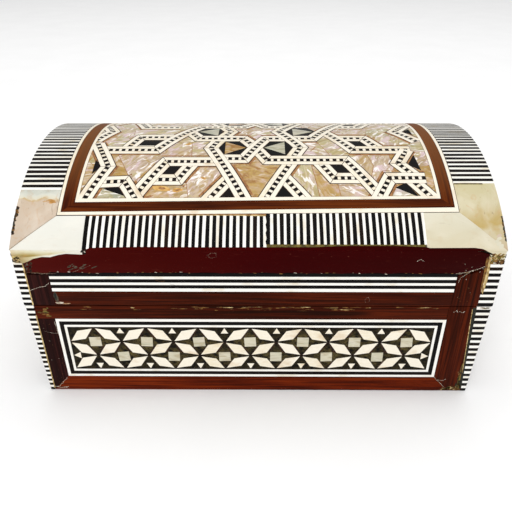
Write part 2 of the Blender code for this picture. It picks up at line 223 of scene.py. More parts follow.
def ebony():
    """Black wood with brown pieces among it."""
    paint = Paint("ebony", roughness=0.4, specular=0.07)
    grain = paint.noise((0.4, 6.0, 1.0), detail=4)
    brown = paint.fade(paint.plus(paint.per_tile(), paint.times(grain, 0.4)), 0.75, 1.3)
    paint.set(Base_Color=paint.mix(brown, "060505", "20130a"))
    paint.bump(grain, 0.02, 0.5)
    return paint.made


def stained_ebony():
    """Black wood round the pearl squares, rubbed to olive brown beside them, where tone is high."""
    paint = Paint("stained_ebony", roughness=0.4, specular=0.07)
    grain = paint.noise((0.4, 6.0, 1.0), detail=4)
    blotch = paint.spots(0.36, 0.56, (0.5, 0.7, 1.0), detail=7)
    black = paint.ramp(grain, (0.4, "040404"), (0.7, "130f08"))
    olive = paint.ramp(paint.noise((1.6, 2.4, 1.0), detail=6), (0.35, "362c16"), (0.65, "6c5f38"))
    paint.set(Base_Color=paint.over(black, olive, paint.tone(), blotch))
    paint.bump(grain, 0.02, 0.5)
    return paint.made


def pearl(name, hues, glint_share):
    """Mother of pearl: each shard has its own hue, with growth bands, lilac clouds and soft pale flashes,
    which are painted highlights.
    Golden shards get fewer painted highlights."""
    paint = Paint(name, roughness=0.26, specular=0.25)
    hue = paint.plus(paint.tone(), paint.drift(0.9, (0.2, 0.3, 1.0), detail=3, distortion=1.2))
    # share of lilac clouds and of painted highlights; golden shards get less
    glint_and_lilac_share = paint.times(paint.fade(hue, 1.0, 0.55), glint_share)
    satin = paint.fade(hue, 1.05, 0.6)
    bands = paint.noise((0.08, 0.34, 2.0), detail=3, distortion=1.8)
    lilac = paint.spots(0.52, 0.66, (0.18, 0.3, 5.0), detail=2, distortion=0.6)
    painted_glint = paint.spots(0.55, 0.65, (0.24, 0.6, 3.0), detail=4, distortion=1.0)
    lines = paint.spots(0.55, 0.7, (0.2, 1.7, 4.0), detail=4, distortion=1.2)
    colour = paint.ramp(hue, *hues)
    colour = paint.over(colour, "d2c0a4", paint.fade(bands, 0.48, 0.62), paint.times(satin, 0.4))
    colour = paint.over(colour, "8c6e30", paint.fade(bands, 0.49, 0.36), 0.4)
    colour = paint.over(colour, "dcc3cf", lilac, paint.times(glint_and_lilac_share, 0.75))
    # painted highlight: soft pale glints laid into the colour
    colour = paint.over(colour, "fffaf6", painted_glint, glint_and_lilac_share)
    colour = paint.over(colour, "866636", lines, paint.times(satin, 0.35))
    paint.set(Base_Color=colour)
    paint.shader.inputs["Coat Weight"].default_value = 0.2
    paint.shader.inputs["Coat Roughness"].default_value = 0.15
    paint.bump(bands, 0.06, 0.4)
    return paint.made


def shell(name, *stops, veins=0.3):
    """A thick end block of shell: colours run along the curve, with faint clouds and veins."""
    paint = Paint(name, roughness=0.3, specular=0.3)
    place = paint.plus(paint.tone(), paint.drift(0.4, (0.12, 0.12, 1.0), detail=5, distortion=1.2))
    cloud = paint.noise((0.08, 0.16, 1.0), detail=4, distortion=0.8)
    warm = paint.spots(0.55, 0.72, (0.2, 0.3, 3.0), detail=7, distortion=1.6)
    dark = paint.spots(0.66, 0.7, (0.3, 0.9, 5.0), detail=9, distortion=1.2)
    colour = paint.over(paint.ramp(place, *stops), "f4efe2", paint.fade(cloud, 0.45, 0.8), 0.3)
    colour = paint.over(colour, "c08a4a", warm, veins)
    paint.set(Base_Color=paint.over(colour, "6e4a26", dark, veins))
    paint.bump(cloud, 0.12, 0.5)
    return paint.made


def wood(name, dark, mid, light, tiled=True, rough=0.34, specular=0.03, crest=None):
    """Polished veneer: long fibres, darker pores and a broad change of tone.
    With a crest colour it is painted paler towards the top of the lid, a painted sheen on the crest."""
    paint = Paint(name, roughness=rough, specular=specular, tiled=tiled)

    def along(lengthwise, across):
        return lengthwise, across, 1.0 if tiled else across

    fibres = paint.noise(along(0.035, 1.5), detail=7, distortion=0.5)
    broad = paint.noise(along(0.02, 0.12), detail=3)
    pores = paint.spots(0.58, 0.68, along(0.22, 7.0), detail=3)
    tone = paint.plus(paint.times(fibres, 0.62), paint.times(broad, 0.38))
    colour = paint.over(paint.ramp(tone, (0.38, dark), (0.5, mid), (0.61, light)), dark, pores, 0.6)
    # painted sheen: the wood is painted paler towards the crest, by height
    if crest:
        height = paint.part(paint.in_object(), Z)
        colour = paint.over(colour, crest, paint.fade(height, *CREST_SHEEN_HEIGHTS), 0.62)
    paint.set(Base_Color=colour, Roughness=paint.fade(fibres, -0.9, 1.9))
    paint.bump(paint.math("SUBTRACT", fibres, pores), 0.03, 0.4)
    return paint.made


def lacquer():
    """The dark red band: smooth and deep, redder on the left, with dust and scratches."""
    paint = Paint("red_lacquer", roughness=0.25, specular=0.02)
    across = paint.fade(paint.part(paint.place, X), -76.0, 60.0)
    place = paint.plus(across, paint.drift(0.5, (0.03, 0.12, 1.0), detail=3))
    dust = paint.spots(0.7, 0.76, (1.1, 1.6, 1.0), detail=9)
    scratch = paint.spots(0.68, 0.72, (0.2, 5.0, 1.0), detail=6, distortion=0.6)
    colour = paint.ramp(place, (0.0, "480d09"), (0.25, "3c0503"), (0.6, "340102"), (1.0, "2c0202"))
    colour = paint.over(colour, "a0604a", dust, 0.3)
    paint.set(Base_Color=paint.over(colour, "8a4030", scratch, 0.18))
    paint.bump(paint.noise((0.3, 0.6, 1.0), detail=2), 0.04, 0.3)
    return paint.made


def putty(name, dark, light, rough):
    """Filler and old glue, lumpy and uneven."""
    paint = Paint(name, roughness=rough, specular=0.2)
    lumps = paint.noise((0.8, 0.8, 1.0), detail=8)
    paint.set(Base_Color=paint.ramp(lumps, (0.35, dark), (0.65, light)))
    paint.bump(lumps, 0.15, 0.8)
    return paint.made


def velvet():
    """Red velvet: short pile that catches light along its edges."""
    paint = Paint("red_velvet", roughness=0.9, specular=0.1, tiled=False)
    pile = paint.noise((5.0, 5.0, 5.0), detail=2)
    nap = paint.ramp(paint.noise((0.05, 0.05, 0.05), detail=4), (0.35, "4a0410"), (0.65, "7c0c1c"))
    paint.set(Base_Color=paint.over(nap, "2c0208", pile, 0.35))
    paint.shader.inputs["Sheen Weight"].default_value = 0.8
    paint.shader.inputs["Sheen Roughness"].default_value = 0.4
    paint.shader.inputs["Sheen Tint"].default_value = srgb("d04050")
    paint.bump(pile, 0.2, 0.8)
    return paint.made


def brass():
    """Small hinges, handled and a little tarnished."""
    paint = Paint("aged_brass", roughness=0.35, metallic=1.0, tiled=False)
    age = paint.noise((0.6, 0.6, 0.6), detail=8)
    colour = paint.ramp(age, (0.35, "6e5224"), (0.6, "b58c42"))
    paint.set(Base_Color=colour, Roughness=paint.fade(age, 1.6, 0.0))
    paint.bump(paint.noise((3.0, 3.0, 3.0), detail=4), 0.02, 0.5)
    return paint.made


PEARL_HUES = ((0.0, "90927a"), (0.2, "aea67a"), (0.35, "b8a876"), (0.5, "b9a392"), (0.62, "b29766"),
              (0.75, "ab8952"), (0.88, "b08c3e"), (1.0, "94641c"))
GREY_HUES = ((0.0, "a6a995"), (0.5, "bdbba3"), (1.0, "cdc7b0"))
MAHOGANY = ("200903", "3a1105", "531c08")
PUTTIES = {               # finish: (material, dark, light, roughness)
    "glue": ("old_glue", "160a04", "3c2210", 0.7),
    "dark_glue": ("dark_glue", "080b06", "1e2010", 0.4),
    "tan": ("tan_filler", "7a4c24", "b08050", 0.5),
    "filler": ("yellow_filler", "7a5a26", "d8c088", 0.7),
    "amber": ("amber_filler", "745818", "cdb676", 0.45),
    "resin": ("resin_vein", "b47e34", "dcb268", 0.35),
    "chalk": ("chalky_chip", "8c7c66", "e6dccb", 0.7),
    "smear": ("grey_smear", "2a2018", "5c5040", 0.7),
    "dust": ("scratch_dust", "4a2c24", "9a8270", 0.7),
    "beige": ("bare_wood", "7c5430", "c4a27c", 0.6),
    "olive": ("olive_wear", "3a3212", "7d6c2c", 0.5),
    "rust": ("rust_stain", "a8702a", "c99a58", 0.5),
    "worn": ("worn_polish", "3a1a08", "8a6228", 0.5),
}
FINISHES = {
    "bone": bone(),
    "bone_white": bone("bone_white", "f1efe9", "e0dac8", "c8b078"),
    "ebony": ebony(),
    "stained_ebony": stained_ebony(),
    # the last argument is how much painted highlight each pearl gets
    "pearl": pearl("pearl", PEARL_HUES, 0.85),
    "grey_pearl": pearl("grey_pearl", GREY_HUES, 0.15),
    "mahogany": wood("mahogany", *MAHOGANY),
    "red_mahogany": wood("red_mahogany", "340d04", "581905", "752909"),
    # frame_wood is painted paler towards the crest: a painted sheen
    "frame_wood": wood("frame_wood", "310f03", "4a1c05", "612b09", crest="86562f"),
    "dark_wood": wood("dark_wood", "140807", "240e0c", "361714"),
    "red_lacquer": lacquer(),
    "shell_left": shell("shell_left", (0.0, "bcbeb2"), (0.1, "cdcdc0"), (0.16, "d2cbb4"), (0.19, "c0a67a"),
                        (0.23, "c5b29c"), (0.6, "c8b6a2"), (1.0, "beb09e")),
    "shell_right": shell("shell_right", (0.0, "c0b78c"), (0.35, "c6bb96"), (0.62, "b89f62"), (0.78, "c6ba98"),
                         (1.0, "bda78a"), veins=0.35),
    "face_left": shell("face_left", (0.0, "e3e3df"), (0.5, "e0dfd6"), (1.0, "dddbd0"), veins=0.06),
    "face_right": shell("face_right", (0.0, "d0cbb6"), (0.5, "cfc9b2"), (1.0, "cdc3a6"), veins=0.1),
    "corner_left": shell("corner_left", (0.0, "dddbd0"), (0.3, "cfc7a4"), (0.6, "a08a48"), (1.0, "5e4618")),
    "velvet": velvet(),
    **{finish: putty(*recipe) for finish, recipe in PUTTIES.items()},
}


# ---- drawing in the plane -------------------------------------------------

def rectangle(u0, u1, v0, v1):
    return [Vector((u0, v0)), Vector((u1, v0)), Vector((u1, v1)), Vector((u0, v1))]


def shape(*pairs):
    return [Vector(pair) for pair in pairs]


def area(outline):
    return sum(a.cross(b) for a, b in zip(outline, outline[1:] + outline[:1])) / 2


def left_of(direction):
    return Vector((-direction.y, direction.x)).normalized()


def spoke(angle):
    return Vector((math.cos(angle), math.sin(angle)))


def cleaned(outline):
    """Anticlockwise, without repeated points, or None if nothing is left."""
    kept = [p for i, p in enumerate(outline) if (p - outline[i - 1]).length > 0.01]
    if len(kept) < 3 or abs(area(kept)) < 0.02:
        return None
    return kept if area(kept) > 0 else kept[::-1]


def clip(outline, point, normal):
    """The part of a convex outline behind the line through point, whose normal points ahead."""
    kept = []
    for a, b in zip(outline, outline[1:] + outline[:1]):
        da, db = (a - point).dot(normal), (b - point).dot(normal)
        if da <= 0:
            kept.append(a)
        if (da < 0) != (db < 0) and abs(da - db) > 1e-9:
            kept.append(a + (b - a) * (da / (da - db)))
    return kept


def inset(outline, distance):
    """The anticlockwise outline moved inward."""
    moved = []
    for i, point in enumerate(outline):
        before = left_of(point - outline[i - 1])
        after = left_of(outline[(i + 1) % len(outline)] - point)
        middle = (before + after).normalized()
        moved.append(point + middle * (distance / max(0.4, middle.dot(after))))
    return moved


def blob(centre, half_length, half_width, heading=0.0, points=11):
    """An uneven rounded patch."""
    turn = Matrix.Rotation(math.radians(heading), 2)
    outline = []
    for k in range(points):
        angle = 2 * math.pi * k / points
        rim = Vector((half_length * math.cos(angle), half_width * math.sin(angle)))
        outline.append(centre + turn @ rim * between(0.72, 1.12))
    return outline


# ---- where a plane lies on the box: (u, v, height above the face) ----------

def on_front(u, v, w):
    return Vector((u, -HALF_DEPTH - w, v))


def end_of_body(z):
    return BODY_HALF_FOOT + (BODY_HALF_TOP - BODY_HALF_FOOT) * z / BODY_TOP


def on_body_end(side):
    return lambda u, v, w: Vector((side * (end_of_body(v) + w), side * u, v))


def on_lid_end(side):
    return lambda u, v, w: Vector((side * (LID_HALF + w), side * u, v))


def on_barrel(u, v, w):
    """v runs along the curve from the crest, towards the front."""
    angle = v / CREST_RADIUS
    radius = CREST_RADIUS + w
    return Vector((u, -radius * math.sin(angle), CREST_AXIS + radius * math.cos(angle)))


BEND_STEP = 2.0           # arc length between the facets of a bent piece
SHARP = math.radians(28)
LAYER_STEP = 7.31         # each tile has its own layer of the texture


class Inlay:
    """Pieces laid side by side on one face. They become one object with several materials."""

    def __init__(self, name, place):
        self.name = name
        self.place = place
        self.bm = bmesh.new()
        self.grain = self.bm.verts.layers.float_vector.new("grain")
        self.tone = self.bm.verts.layers.float.new("tone")
        self.finishes = []
        self.count = 0

    def tile(self, outline, finish, top=0.0, depth=SKIN, edge=0.05, steps=1, turned=0.0, tone=0.5):
        """A solid with an eased upper edge. Its grain runs along u, turned by so many degrees.
        tone is a value from 0 to 1, or a function of (u, v) that gives one."""
        outline = cleaned(outline)
        if outline is None:
            return
        size = math.sqrt(area(outline))
        edge = min(edge, 0.12 * size)
        rings = [(0.0, -depth)]
        for i in range(steps + 1):
            angle = math.pi / 2 * i / steps
            rings.append((edge * (1 - math.cos(angle)), top - edge * (1 - math.sin(angle))))
        levels = []
        for distance, height in rings:
            ring = inset(outline, distance) if distance else outline
            levels.append([self.bm.verts.new((p.x, p.y, height)) for p in ring])
        faces = [self.bm.faces.new(levels[0][::-1]), self.bm.faces.new(levels[-1])]
        count = len(outline)
        for low, high in zip(levels, levels[1:]):
            for i in range(count):
                j = (i + 1) % count
                faces.append(self.bm.faces.new((low[i], low[j], high[j], high[i])))
        if finish not in self.finishes:
            self.finishes.append(finish)
        for face in faces:
            face.material_index = self.finishes.index(finish)
        self.count += 1
        layer = self.count * LAYER_STEP
        cosine, sine = math.cos(math.radians(turned)), math.sin(math.radians(turned))
        for vert in (v for level in levels for v in level):
            u, v = vert.co.x, vert.co.y
            vert[self.grain] = (cosine * u + sine * v, cosine * v - sine * u, layer)
            vert[self.tone] = tone(u, v) if callable(tone) else tone

    def patch(self, u, v, half_length, half_width, heading=0.0, finish="worn", top=0.02, points=11, **tile):
        """An uneven rounded patch. Of several finishes one is drawn, and a height between two given ones."""
        outline = blob(Vector((u, v)), half_length, half_width, heading, points)
        if isinstance(finish, tuple):
            finish = dice.choice(finish)
        if isinstance(top, tuple):
            top = between(*top)
        self.tile(outline, finish, top=top, **{"edge": 0.02, **tile})

    def bend(self):
        """Cut the flat work into narrow bands so that it can follow the curve."""
        heights = [v.co.y for v in self.bm.verts]
        low, high = math.ceil(min(heights) / BEND_STEP), math.floor(max(heights) / BEND_STEP)
        for k in range(low, high + 1):
            bmesh.ops.bisect_plane(
                self.bm, geom=self.bm.verts[:] + self.bm.edges[:] + self.bm.faces[:],
                plane_co=(0.0, k * BEND_STEP, 0.0), plane_no=(0.0, 1.0, 0.0), dist=0.002)

    def build(self, body, replaced, slot):
        if self.place is on_barrel:
            self.bend()
        at = self.bm.verts[:][0].co.copy()
        origin = self.place(*at)
        along, up, out = (self.place(*(at + step)) - origin
                          for step in (Vector((0.1, 0, 0)), Vector((0, 0.1, 0)), Vector((0, 0, 0.1))))
        for vert in self.bm.verts:
            vert.co = self.place(*vert.co) * MM
        if along.cross(up).dot(out) < 0:
            bmesh.ops.reverse_faces(self.bm, faces=self.bm.faces[:])
        return finish_object(self.name, self.bm, self.finishes, body, replaced, slot)


def finish_object(name, bm, finishes, body, replaced, slot):
    mesh = bpy.data.meshes.new(name)
    bm.to_mesh(mesh)
    bm.free()
    for finish in finishes:
        mesh.materials.append(FINISHES[finish])
    mesh.shade_smooth()
    mesh.set_sharp_from_angle(angle=SHARP)
    made = bpy.data.objects.new(name, mesh)
    bpy.context.scene.collection.objects.link(made)
    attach(made, body)
    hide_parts(*replaced)
    return made


# ---- strips and frames ----------------------------------------------------

# the lid's frame was glued a little askew: (shift, slope) of each edge along the front, from the outside in
FRONT_LEAN = ((-0.45, -0.0106), (-0.8, -0.0152), (-0.3, -0.0135), (-0.55, -0.011))


def askew(edge, u, v):
    """v as it is on an edge of the lid's frame, counted from the outside. The back edge is straight."""
    shift, slope = FRONT_LEAN[edge]
    return v + shift + slope * u if v > 0 else v


def flat_top(u, v):
    """v on the frame's outer edge."""
    return askew(0, u, v)


def laminate(start, stop, pitch, black):
    """Where black and white layers meet. black is the black layer's share of each pair."""
    count = max(1, round((stop - start) / pitch))
    pitch = (stop - start) / count
    edges = [start]
    for i in range(count):
        edges += [start + pitch * (i + black + between(-0.05, 0.05)), start + pitch * (i + 1)]
    return edges


def stripes(inlay, u0, u1, v0, v1, pitch, black=0.53, upright=False, skew=0.0, above=flat_top):
    """Black and white strips stacked from v0 to v1, or from u0 to u1 if they stand upright.
    Upright strips start from above(u, v0)."""
    edges = laminate(u0, u1, pitch, black) if upright else laminate(v0, v1, pitch, black)
    lean = 0.0
    for i, (a, b) in enumerate(zip(edges, edges[1:])):
        finish = "bone_white" if i % 2 else "ebony"
        lift = between(-LIFT, LIFT)
        before, lean = lean, (between(-skew, skew) if 0 < i < len(edges) - 2 else 0.0)
        if upright:
            outline = [(a - before, above(a, v0)), (b - lean, above(b, v0)), (b + lean, v1), (a + before, v1)]
        else:
            outline = [(u0, a - before), (u1, a + before), (u1, b + lean), (u0, b - lean)]
        inlay.tile(shape(*outline), finish, top=lift, turned=90 * upright, edge=0.03)


def ring(inlay, outer, inner, finish, top=0.0):
    """Four mitred strips between two outlines."""
    for i in range(4):
        j = (i + 1) % 4
        inlay.tile([outer[i], outer[j], inner[j], inner[i]], finish, top=top + between(-LIFT, LIFT / 2),
                   turned=90 * (i % 2), edge=0.03)


def line_frame(inlay, box, lines):
    """Nested mitred frames, from the outside in. Each line is (width, finish)."""
    u0, u1, v0, v1 = box
    for width, finish in lines:
        outer = rectangle(u0, u1, v0, v1)
        u0, u1, v0, v1 = u0 + width, u1 - width, v0 + width, v1 - width
        ring(inlay, outer, rectangle(u0, u1, v0, v1), finish)
    return u0, u1, v0, v1


LINE_BORDER = ((1.05, "bone_white"), (1.5, "ebony"), (0.9, "bone_white"))


def star_mosaic(inlay, box, cells):
    """Two rows of four-pointed stars: white lozenges between dark points, each round a pearl square."""
    u0, u1, v0, v1 = box
    inlay.tile(rectangle(*box), "glue", top=-0.1)
    long_share, wide_half = 0.445, 2.2        # a lozenge: half of its length as a share, half of its width
    square_half, wall_gap = 2.05, 0.35
    pitch = (u1 - u0) / cells
    reach = 0.97 * (v1 - v0) / 2
    middle = (v0 + v1) / 2
    rows = [middle + reach * share for share in (1.0, 1 / 3, -1 / 3, -1.0)]
    nodes_on = [[Vector((u0 + pitch * (i + shift), v)) for i in range(cells + 1)]
                for v, shift in zip(rows, (0.5, 0.0, 0.5, 0.0))]

    def point(row, index):
        """A node of the lattice. Odd rows start at the left edge, even rows half a cell in."""
        return nodes_on[row][index]

    def lozenge(a, b):
        side = b - a
        wide = left_of(side) * wide_half
        centre = (a + b) / 2 + Vector((between(-0.12, 0.12), between(-0.12, 0.12)))
        long = side * long_share
        inlay.tile([centre - long, centre - wide, centre + long, centre + wide], "bone",
                   top=between(-LIFT, LIFT))

    def dart(corners, near=None):
        """A dark piece, stained where it comes near the square."""
        worn = between(0.7, 1.3)

        def stain(u, v):
            return worn * max(0.0, 1.35 - (Vector((u, v)) - near).length / 4.5)

        inlay.tile(corners, "stained_ebony", top=-0.02, edge=0.03, tone=stain if near else 0.2)

    def star(left, top, right, bottom, centre):
        turn = math.radians(between(-4, 5))
        arms = [spoke(turn + k * math.pi / 2) for k in range(4)]
        corner = [centre + (arms[k] + arms[(k + 1) % 4]) * square_half for k in range(4)]
        inlay.tile(corner, "grey_pearl", top=0.0, edge=0.04, tone=between(0.6, 0.95))
        for tip, k in ((right, 3), (top, 0), (left, 1), (bottom, 2)):
            out = (tip - centre).normalized()
            gap = out * 0.08
            dart([corner[k] + gap, tip, corner[(k + 1) % 4] + gap], centre)

    def arrow(tip, towards, width):
        across = left_of(towards)
        base = tip + towards
        inlay.tile([tip, base - across * width, base + across * width], "bone", edge=0.04)

    for i in range(cells):
        a, b, top = point(1, i), point(1, i + 1), point(0, i)
        low, foot, next_foot = point(2, i), point(3, i), point(3, i + 1)
        for start, end in ((a, top), (top, b), (a, low), (low, b), (low, foot), (low, next_foot)):
            lozenge(start, end)
        star(a, top, b, low, (a + b) / 2 + Vector((between(-0.3, 0.3), 0.0)))
        arrow(Vector((low.x, v0 + wall_gap)), Vector((0, 2.6)), 1.35)
        if i:
            before = point(2, i - 1)
            star(before, a, low, foot, (before + low) / 2 + Vector((between(-0.3, 0.3), -0.5)))
            arrow(Vector((a.x, v1 - wall_gap)), Vector((0, -2.4)), 1.35)
            dart([point(0, i - 1), a, top])
        dart([foot, low, next_foot])
    for wall, near, sign in ((u0, point(2, 0), 1), (u1, point(2, cells - 1), -1)):
        dart([Vector((wall, rows[1])), Vector((wall, rows[3])), near])
        arrow(Vector((wall + sign * 0.25, near.y)), Vector((sign * 2.6, 0)), 1.5)
        dart([Vector((wall, rows[0])), Vector((wall, rows[1])), Vector((near.x, rows[0]))])


# ---- the lid's strapwork, in modules --------------------------------------

STRAP_HALF = 1.09         # half width of a strap
CORE_HALF = 0.32          # half width of its checkered core
CHECK_PITCH, CHECK_BLACK = 1.05, 0.6      # one black and one white check of the core, and the black one
TOUCHING = STRAP_HALF + 0.3               # a strap's end this near another strap's middle stops there
END_ZONE = 0.8            # unless that is itself an end: this near its last point
OVERRUN = 2.6             # how far each leg is drawn past its ends before it is cut
HEXAGON_RADIUS, TRIANGLE_RADIUS = 2.95, 2.3
SHARD_SIZE = 9.0          # in millimetres
BORDER_LINE = 17.9        # where the straps run out under the frame
CREST_LINE = -0.3         # the pattern's own middle line, a little behind the crest

# straps that cross the crest, drawn once
CROSSING = [
    [(-25.5, 6.95), (-16.5, 6.95), (-9.9, -3.5), (-2.5, -3.5), (-0.9, -6.0)],
    [(5.6, 2.9), (9.1, 2.9), (15.4, -7.45), (24.8, -7.45)],
    [(5.4, 9.4), (7.0, 6.1), (3.45, -0.3), (7.0, -6.7), (5.4, -10.0)],
    [(-6.1, 2.9), (-4.6, -0.3), (-6.1, -3.5)],
    [(-27.2, -4.4), (-25.2, -0.35), (-27.2, 3.8)],
    [(26.4, -4.6), (23.5, -0.2), (26.4, 4.0)],
]
# straps of the front half; the back half mirrors them
FRONT_HALF = [
    [(-24.8, 14.9), (-20.6, 14.65), (-18.2, 18.5)],
    [(17.9, 18.5), (20.35, 13.9), (25.9, 13.9)],
    [(-11.9, -0.3), (-9.9, 2.9), (-2.5, 2.9), (-0.9, 5.4)],
    [(4.9, 2.9), (1.3, 2.9), (-2.2, 9.4), (-6.0, 9.4)],
    [(-6.2, 2.9), (-7.7, 6.35), (-1.9, 18.5)],
    [(-6.0, 10.15), (-14.55, 10.15), (-19.1, 18.5)],
    [(-10.1, 10.15), (-12.35, 14.3), (-16.8, 14.3)],
    [(-26.6, 4.9), (-23.6, 11.35), (-26.3, 18.5)],
    [(-13.7, 2.4), (-19.8, 2.4), (-21.6, 6.95)],
    [(-4.0, 13.5), (-7.7, 18.5)],
    [(11.05, -0.3), (15.4, 6.85), (24.8, 6.85)],
    [(-0.5, 6.3), (1.45, 9.75), (13.9, 9.75), (19.15, 18.5)],
    [(5.6, 9.75), (0.95, 18.5)],
    [(3.6, 13.2), (7.35, 18.5)],
    [(9.35, 9.75), (11.75, 13.95), (16.4, 13.95)],
    [(23.3, 13.9), (26.7, 18.5)],
    [(24.2, 6.85), (22.1, 10.6), (24.6, 13.9)],
    [(12.95, 2.8), (17.6, 2.8), (19.9, 6.85)],
]
# black fields seen inside the straps
FIELDS = [
    [(-18.6, 3.0), (-15.2, 3.0), (-16.9, 5.55), (-20.2, 5.55)],
    [(-14.0, 10.6), (-10.9, 10.6), (-12.8, 13.9), (-16.0, 13.9)],
    [(10.7, 10.1), (13.2, 10.1), (15.1, 13.2), (12.3, 13.2)],
    [(13.7, 3.2), (17.2, 3.2), (19.3, 6.5), (15.8, 6.5)],
    [(-4.4, 14.0), (-2.4, 18.5), (-7.6, 18.5)],
    [(3.7, 13.9), (6.9, 18.5), (1.4, 18.5)],
    [(-23.7, 16.2), (-20.8, 15.2), (-18.6, 18.2)],
    [(20.9, 15.9), (22.6, 14.9), (24.6, 17.9)],
    [(-25.9, 9.7), (-24.6, 11.35), (-25.9, 13.2)],
    [(25.0, 8.3), (25.5, 12.3), (23.6, 10.9)],
    [(24.8, -0.3), (26.4, -2.0), (26.4, 1.4)],
]
BONE_FIELD = [(-19.6, 2.6), (-14.0, 2.6), (-16.6, 6.7), (-21.4, 6.7)]     # round the first of them
HEXAGONS = [(-7.95, -0.3, 0), (7.1, -0.3, 180), (-4.25, 6.2, 180), (3.25, 6.2, 0)]
# shards set one by one: (outline, hue, heading of the growth lines)
SHARDS = [
    ([(-22.6, 8.2), (-14.6, 8.2), (-19.3, 15.2)], 0.5, -48),
    ([(-24.4, 7.6), (-22.6, 8.2), (-19.3, 15.2), (-24.4, 15.2)], 0.76, 15),
    ([(-16.4, 9.3), (-13.4, 4.5), (-11.0, 4.3), (-10.6, 9.3)], 0.48, -48),
    ([(-13.4, 4.5), (-10.0, 0.0), (-6.0, 3.0), (-6.8, 9.3), (-10.6, 9.3), (-11.0, 4.3)], 0.36, -30),
    ([(-19.2, 18.6), (-15.0, 14.8), (-11.0, 15.0), (-10.4, 18.6)], 0.72, -15),
    ([(-11.0, 15.0), (-8.2, 10.0), (-3.2, 10.4), (-8.6, 18.6), (-10.4, 18.6)], 0.55, -50),
    ([(-6.6, 9.0), (6.4, 9.0), (-0.8, 19.0)], 0.87, 4),
    ([(5.2, 10.2), (8.3, 10.2), (9.5, 18.6), (6.2, 18.6), (3.0, 14.0)], 0.3, 75),
    ([(8.3, 10.2), (10.2, 10.2), (12.2, 15.0), (12.7, 18.6), (9.5, 18.6)], 0.82, 60),
    ([(12.2, 14.9), (17.2, 14.7), (19.2, 18.6), (12.7, 18.6)], 0.56, 20),
    ([(13.8, 7.8), (17.4, 7.8), (18.2, 11.2), (17.2, 15.0)], 0.62, -60),
    ([(17.4, 7.8), (21.0, 7.8), (21.3, 11.6), (19.2, 17.4), (17.2, 15.0), (18.2, 11.2)], 0.5, -65),
    ([(21.0, 7.8), (24.6, 7.8), (22.6, 14.2), (20.4, 15.4), (21.3, 11.6)], 0.84, 30),
    ([(8.4, 1.2), (10.8, 1.2), (15.6, 9.0), (11.8, 9.0)], 0.34, -35),
    ([(8.4, 1.2), (11.8, 9.0), (6.0, 9.0)], 0.44, 10),
    ([(-26.6, 18.6), (-23.4, 15.6), (-18.4, 18.6)], 0.02, 0),
    ([(18.0, 18.6), (20.8, 15.2), (26.0, 18.6)], 0.02, 0),
]
# amber eyes and thin brown cracks within them: (centre, half length, half width, heading)
VEINS = [((-14.6, 16.1), 1.5, 0.6, 6), ((-12.2, 16.4), 1.0, 0.5, -8), ((-11.5, 5.0), 0.6, 0.35, -30),
         ((22.2, 10.6), 0.7, 0.5, 40), ((-16.6, 17.7), 0.9, 0.2, -20), ((9.0, 6.6), 1.1, 0.12, -55),
         ((6.4, 16.6), 1.6, 0.12, -60), ((-2.4, 15.2), 1.2, 0.14, 62), ((-24.0, 7.2), 0.7, 0.2, -60),
         ((12.2, 3.0), 0.5, 0.25, 20), ((-8.4, 14.0), 0.5, 0.3, 30), ((-11.0, 12.6), 0.9, 0.12, -40)]


def modules(points):
    return [Vector(p) * MODULE for p in points]


def mirrored(points):
    return [(x, 2 * CREST_LINE - s) for x, s in points]


EYE_WIDTH = 0.22          # veins wider than this are amber eyes
# heights of what is laid on the lid, from the bed up
LAYER = {"bed": -0.13, "shard_line": -0.066, "shard": -0.06, "strap_stain_and_shade": -0.058, "vein": -0.054,
         "vein_core": -0.052, "field": -0.05, "strap_glue": -0.035, "triangle": -0.02}
MOSAIC_HALF_U = span("top_mosaic", X)[1] + 0.12
MOSAIC_HALF_V = 39.62


def within_frame(outline):
    """The part of a convex outline inside the lid's frame."""
    for sign in (-1, 1):
        outline = clip(outline, Vector((sign * MOSAIC_HALF_U, 0)), Vector((sign, 0)))
    outline = clip(outline, Vector((0, -MOSAIC_HALF_V)), Vector((0, -1)))
    return clip(outline, Vector((0, askew(3, 0, MOSAIC_HALF_V))), Vector((-FRONT_LEAN[3][1], 1)))


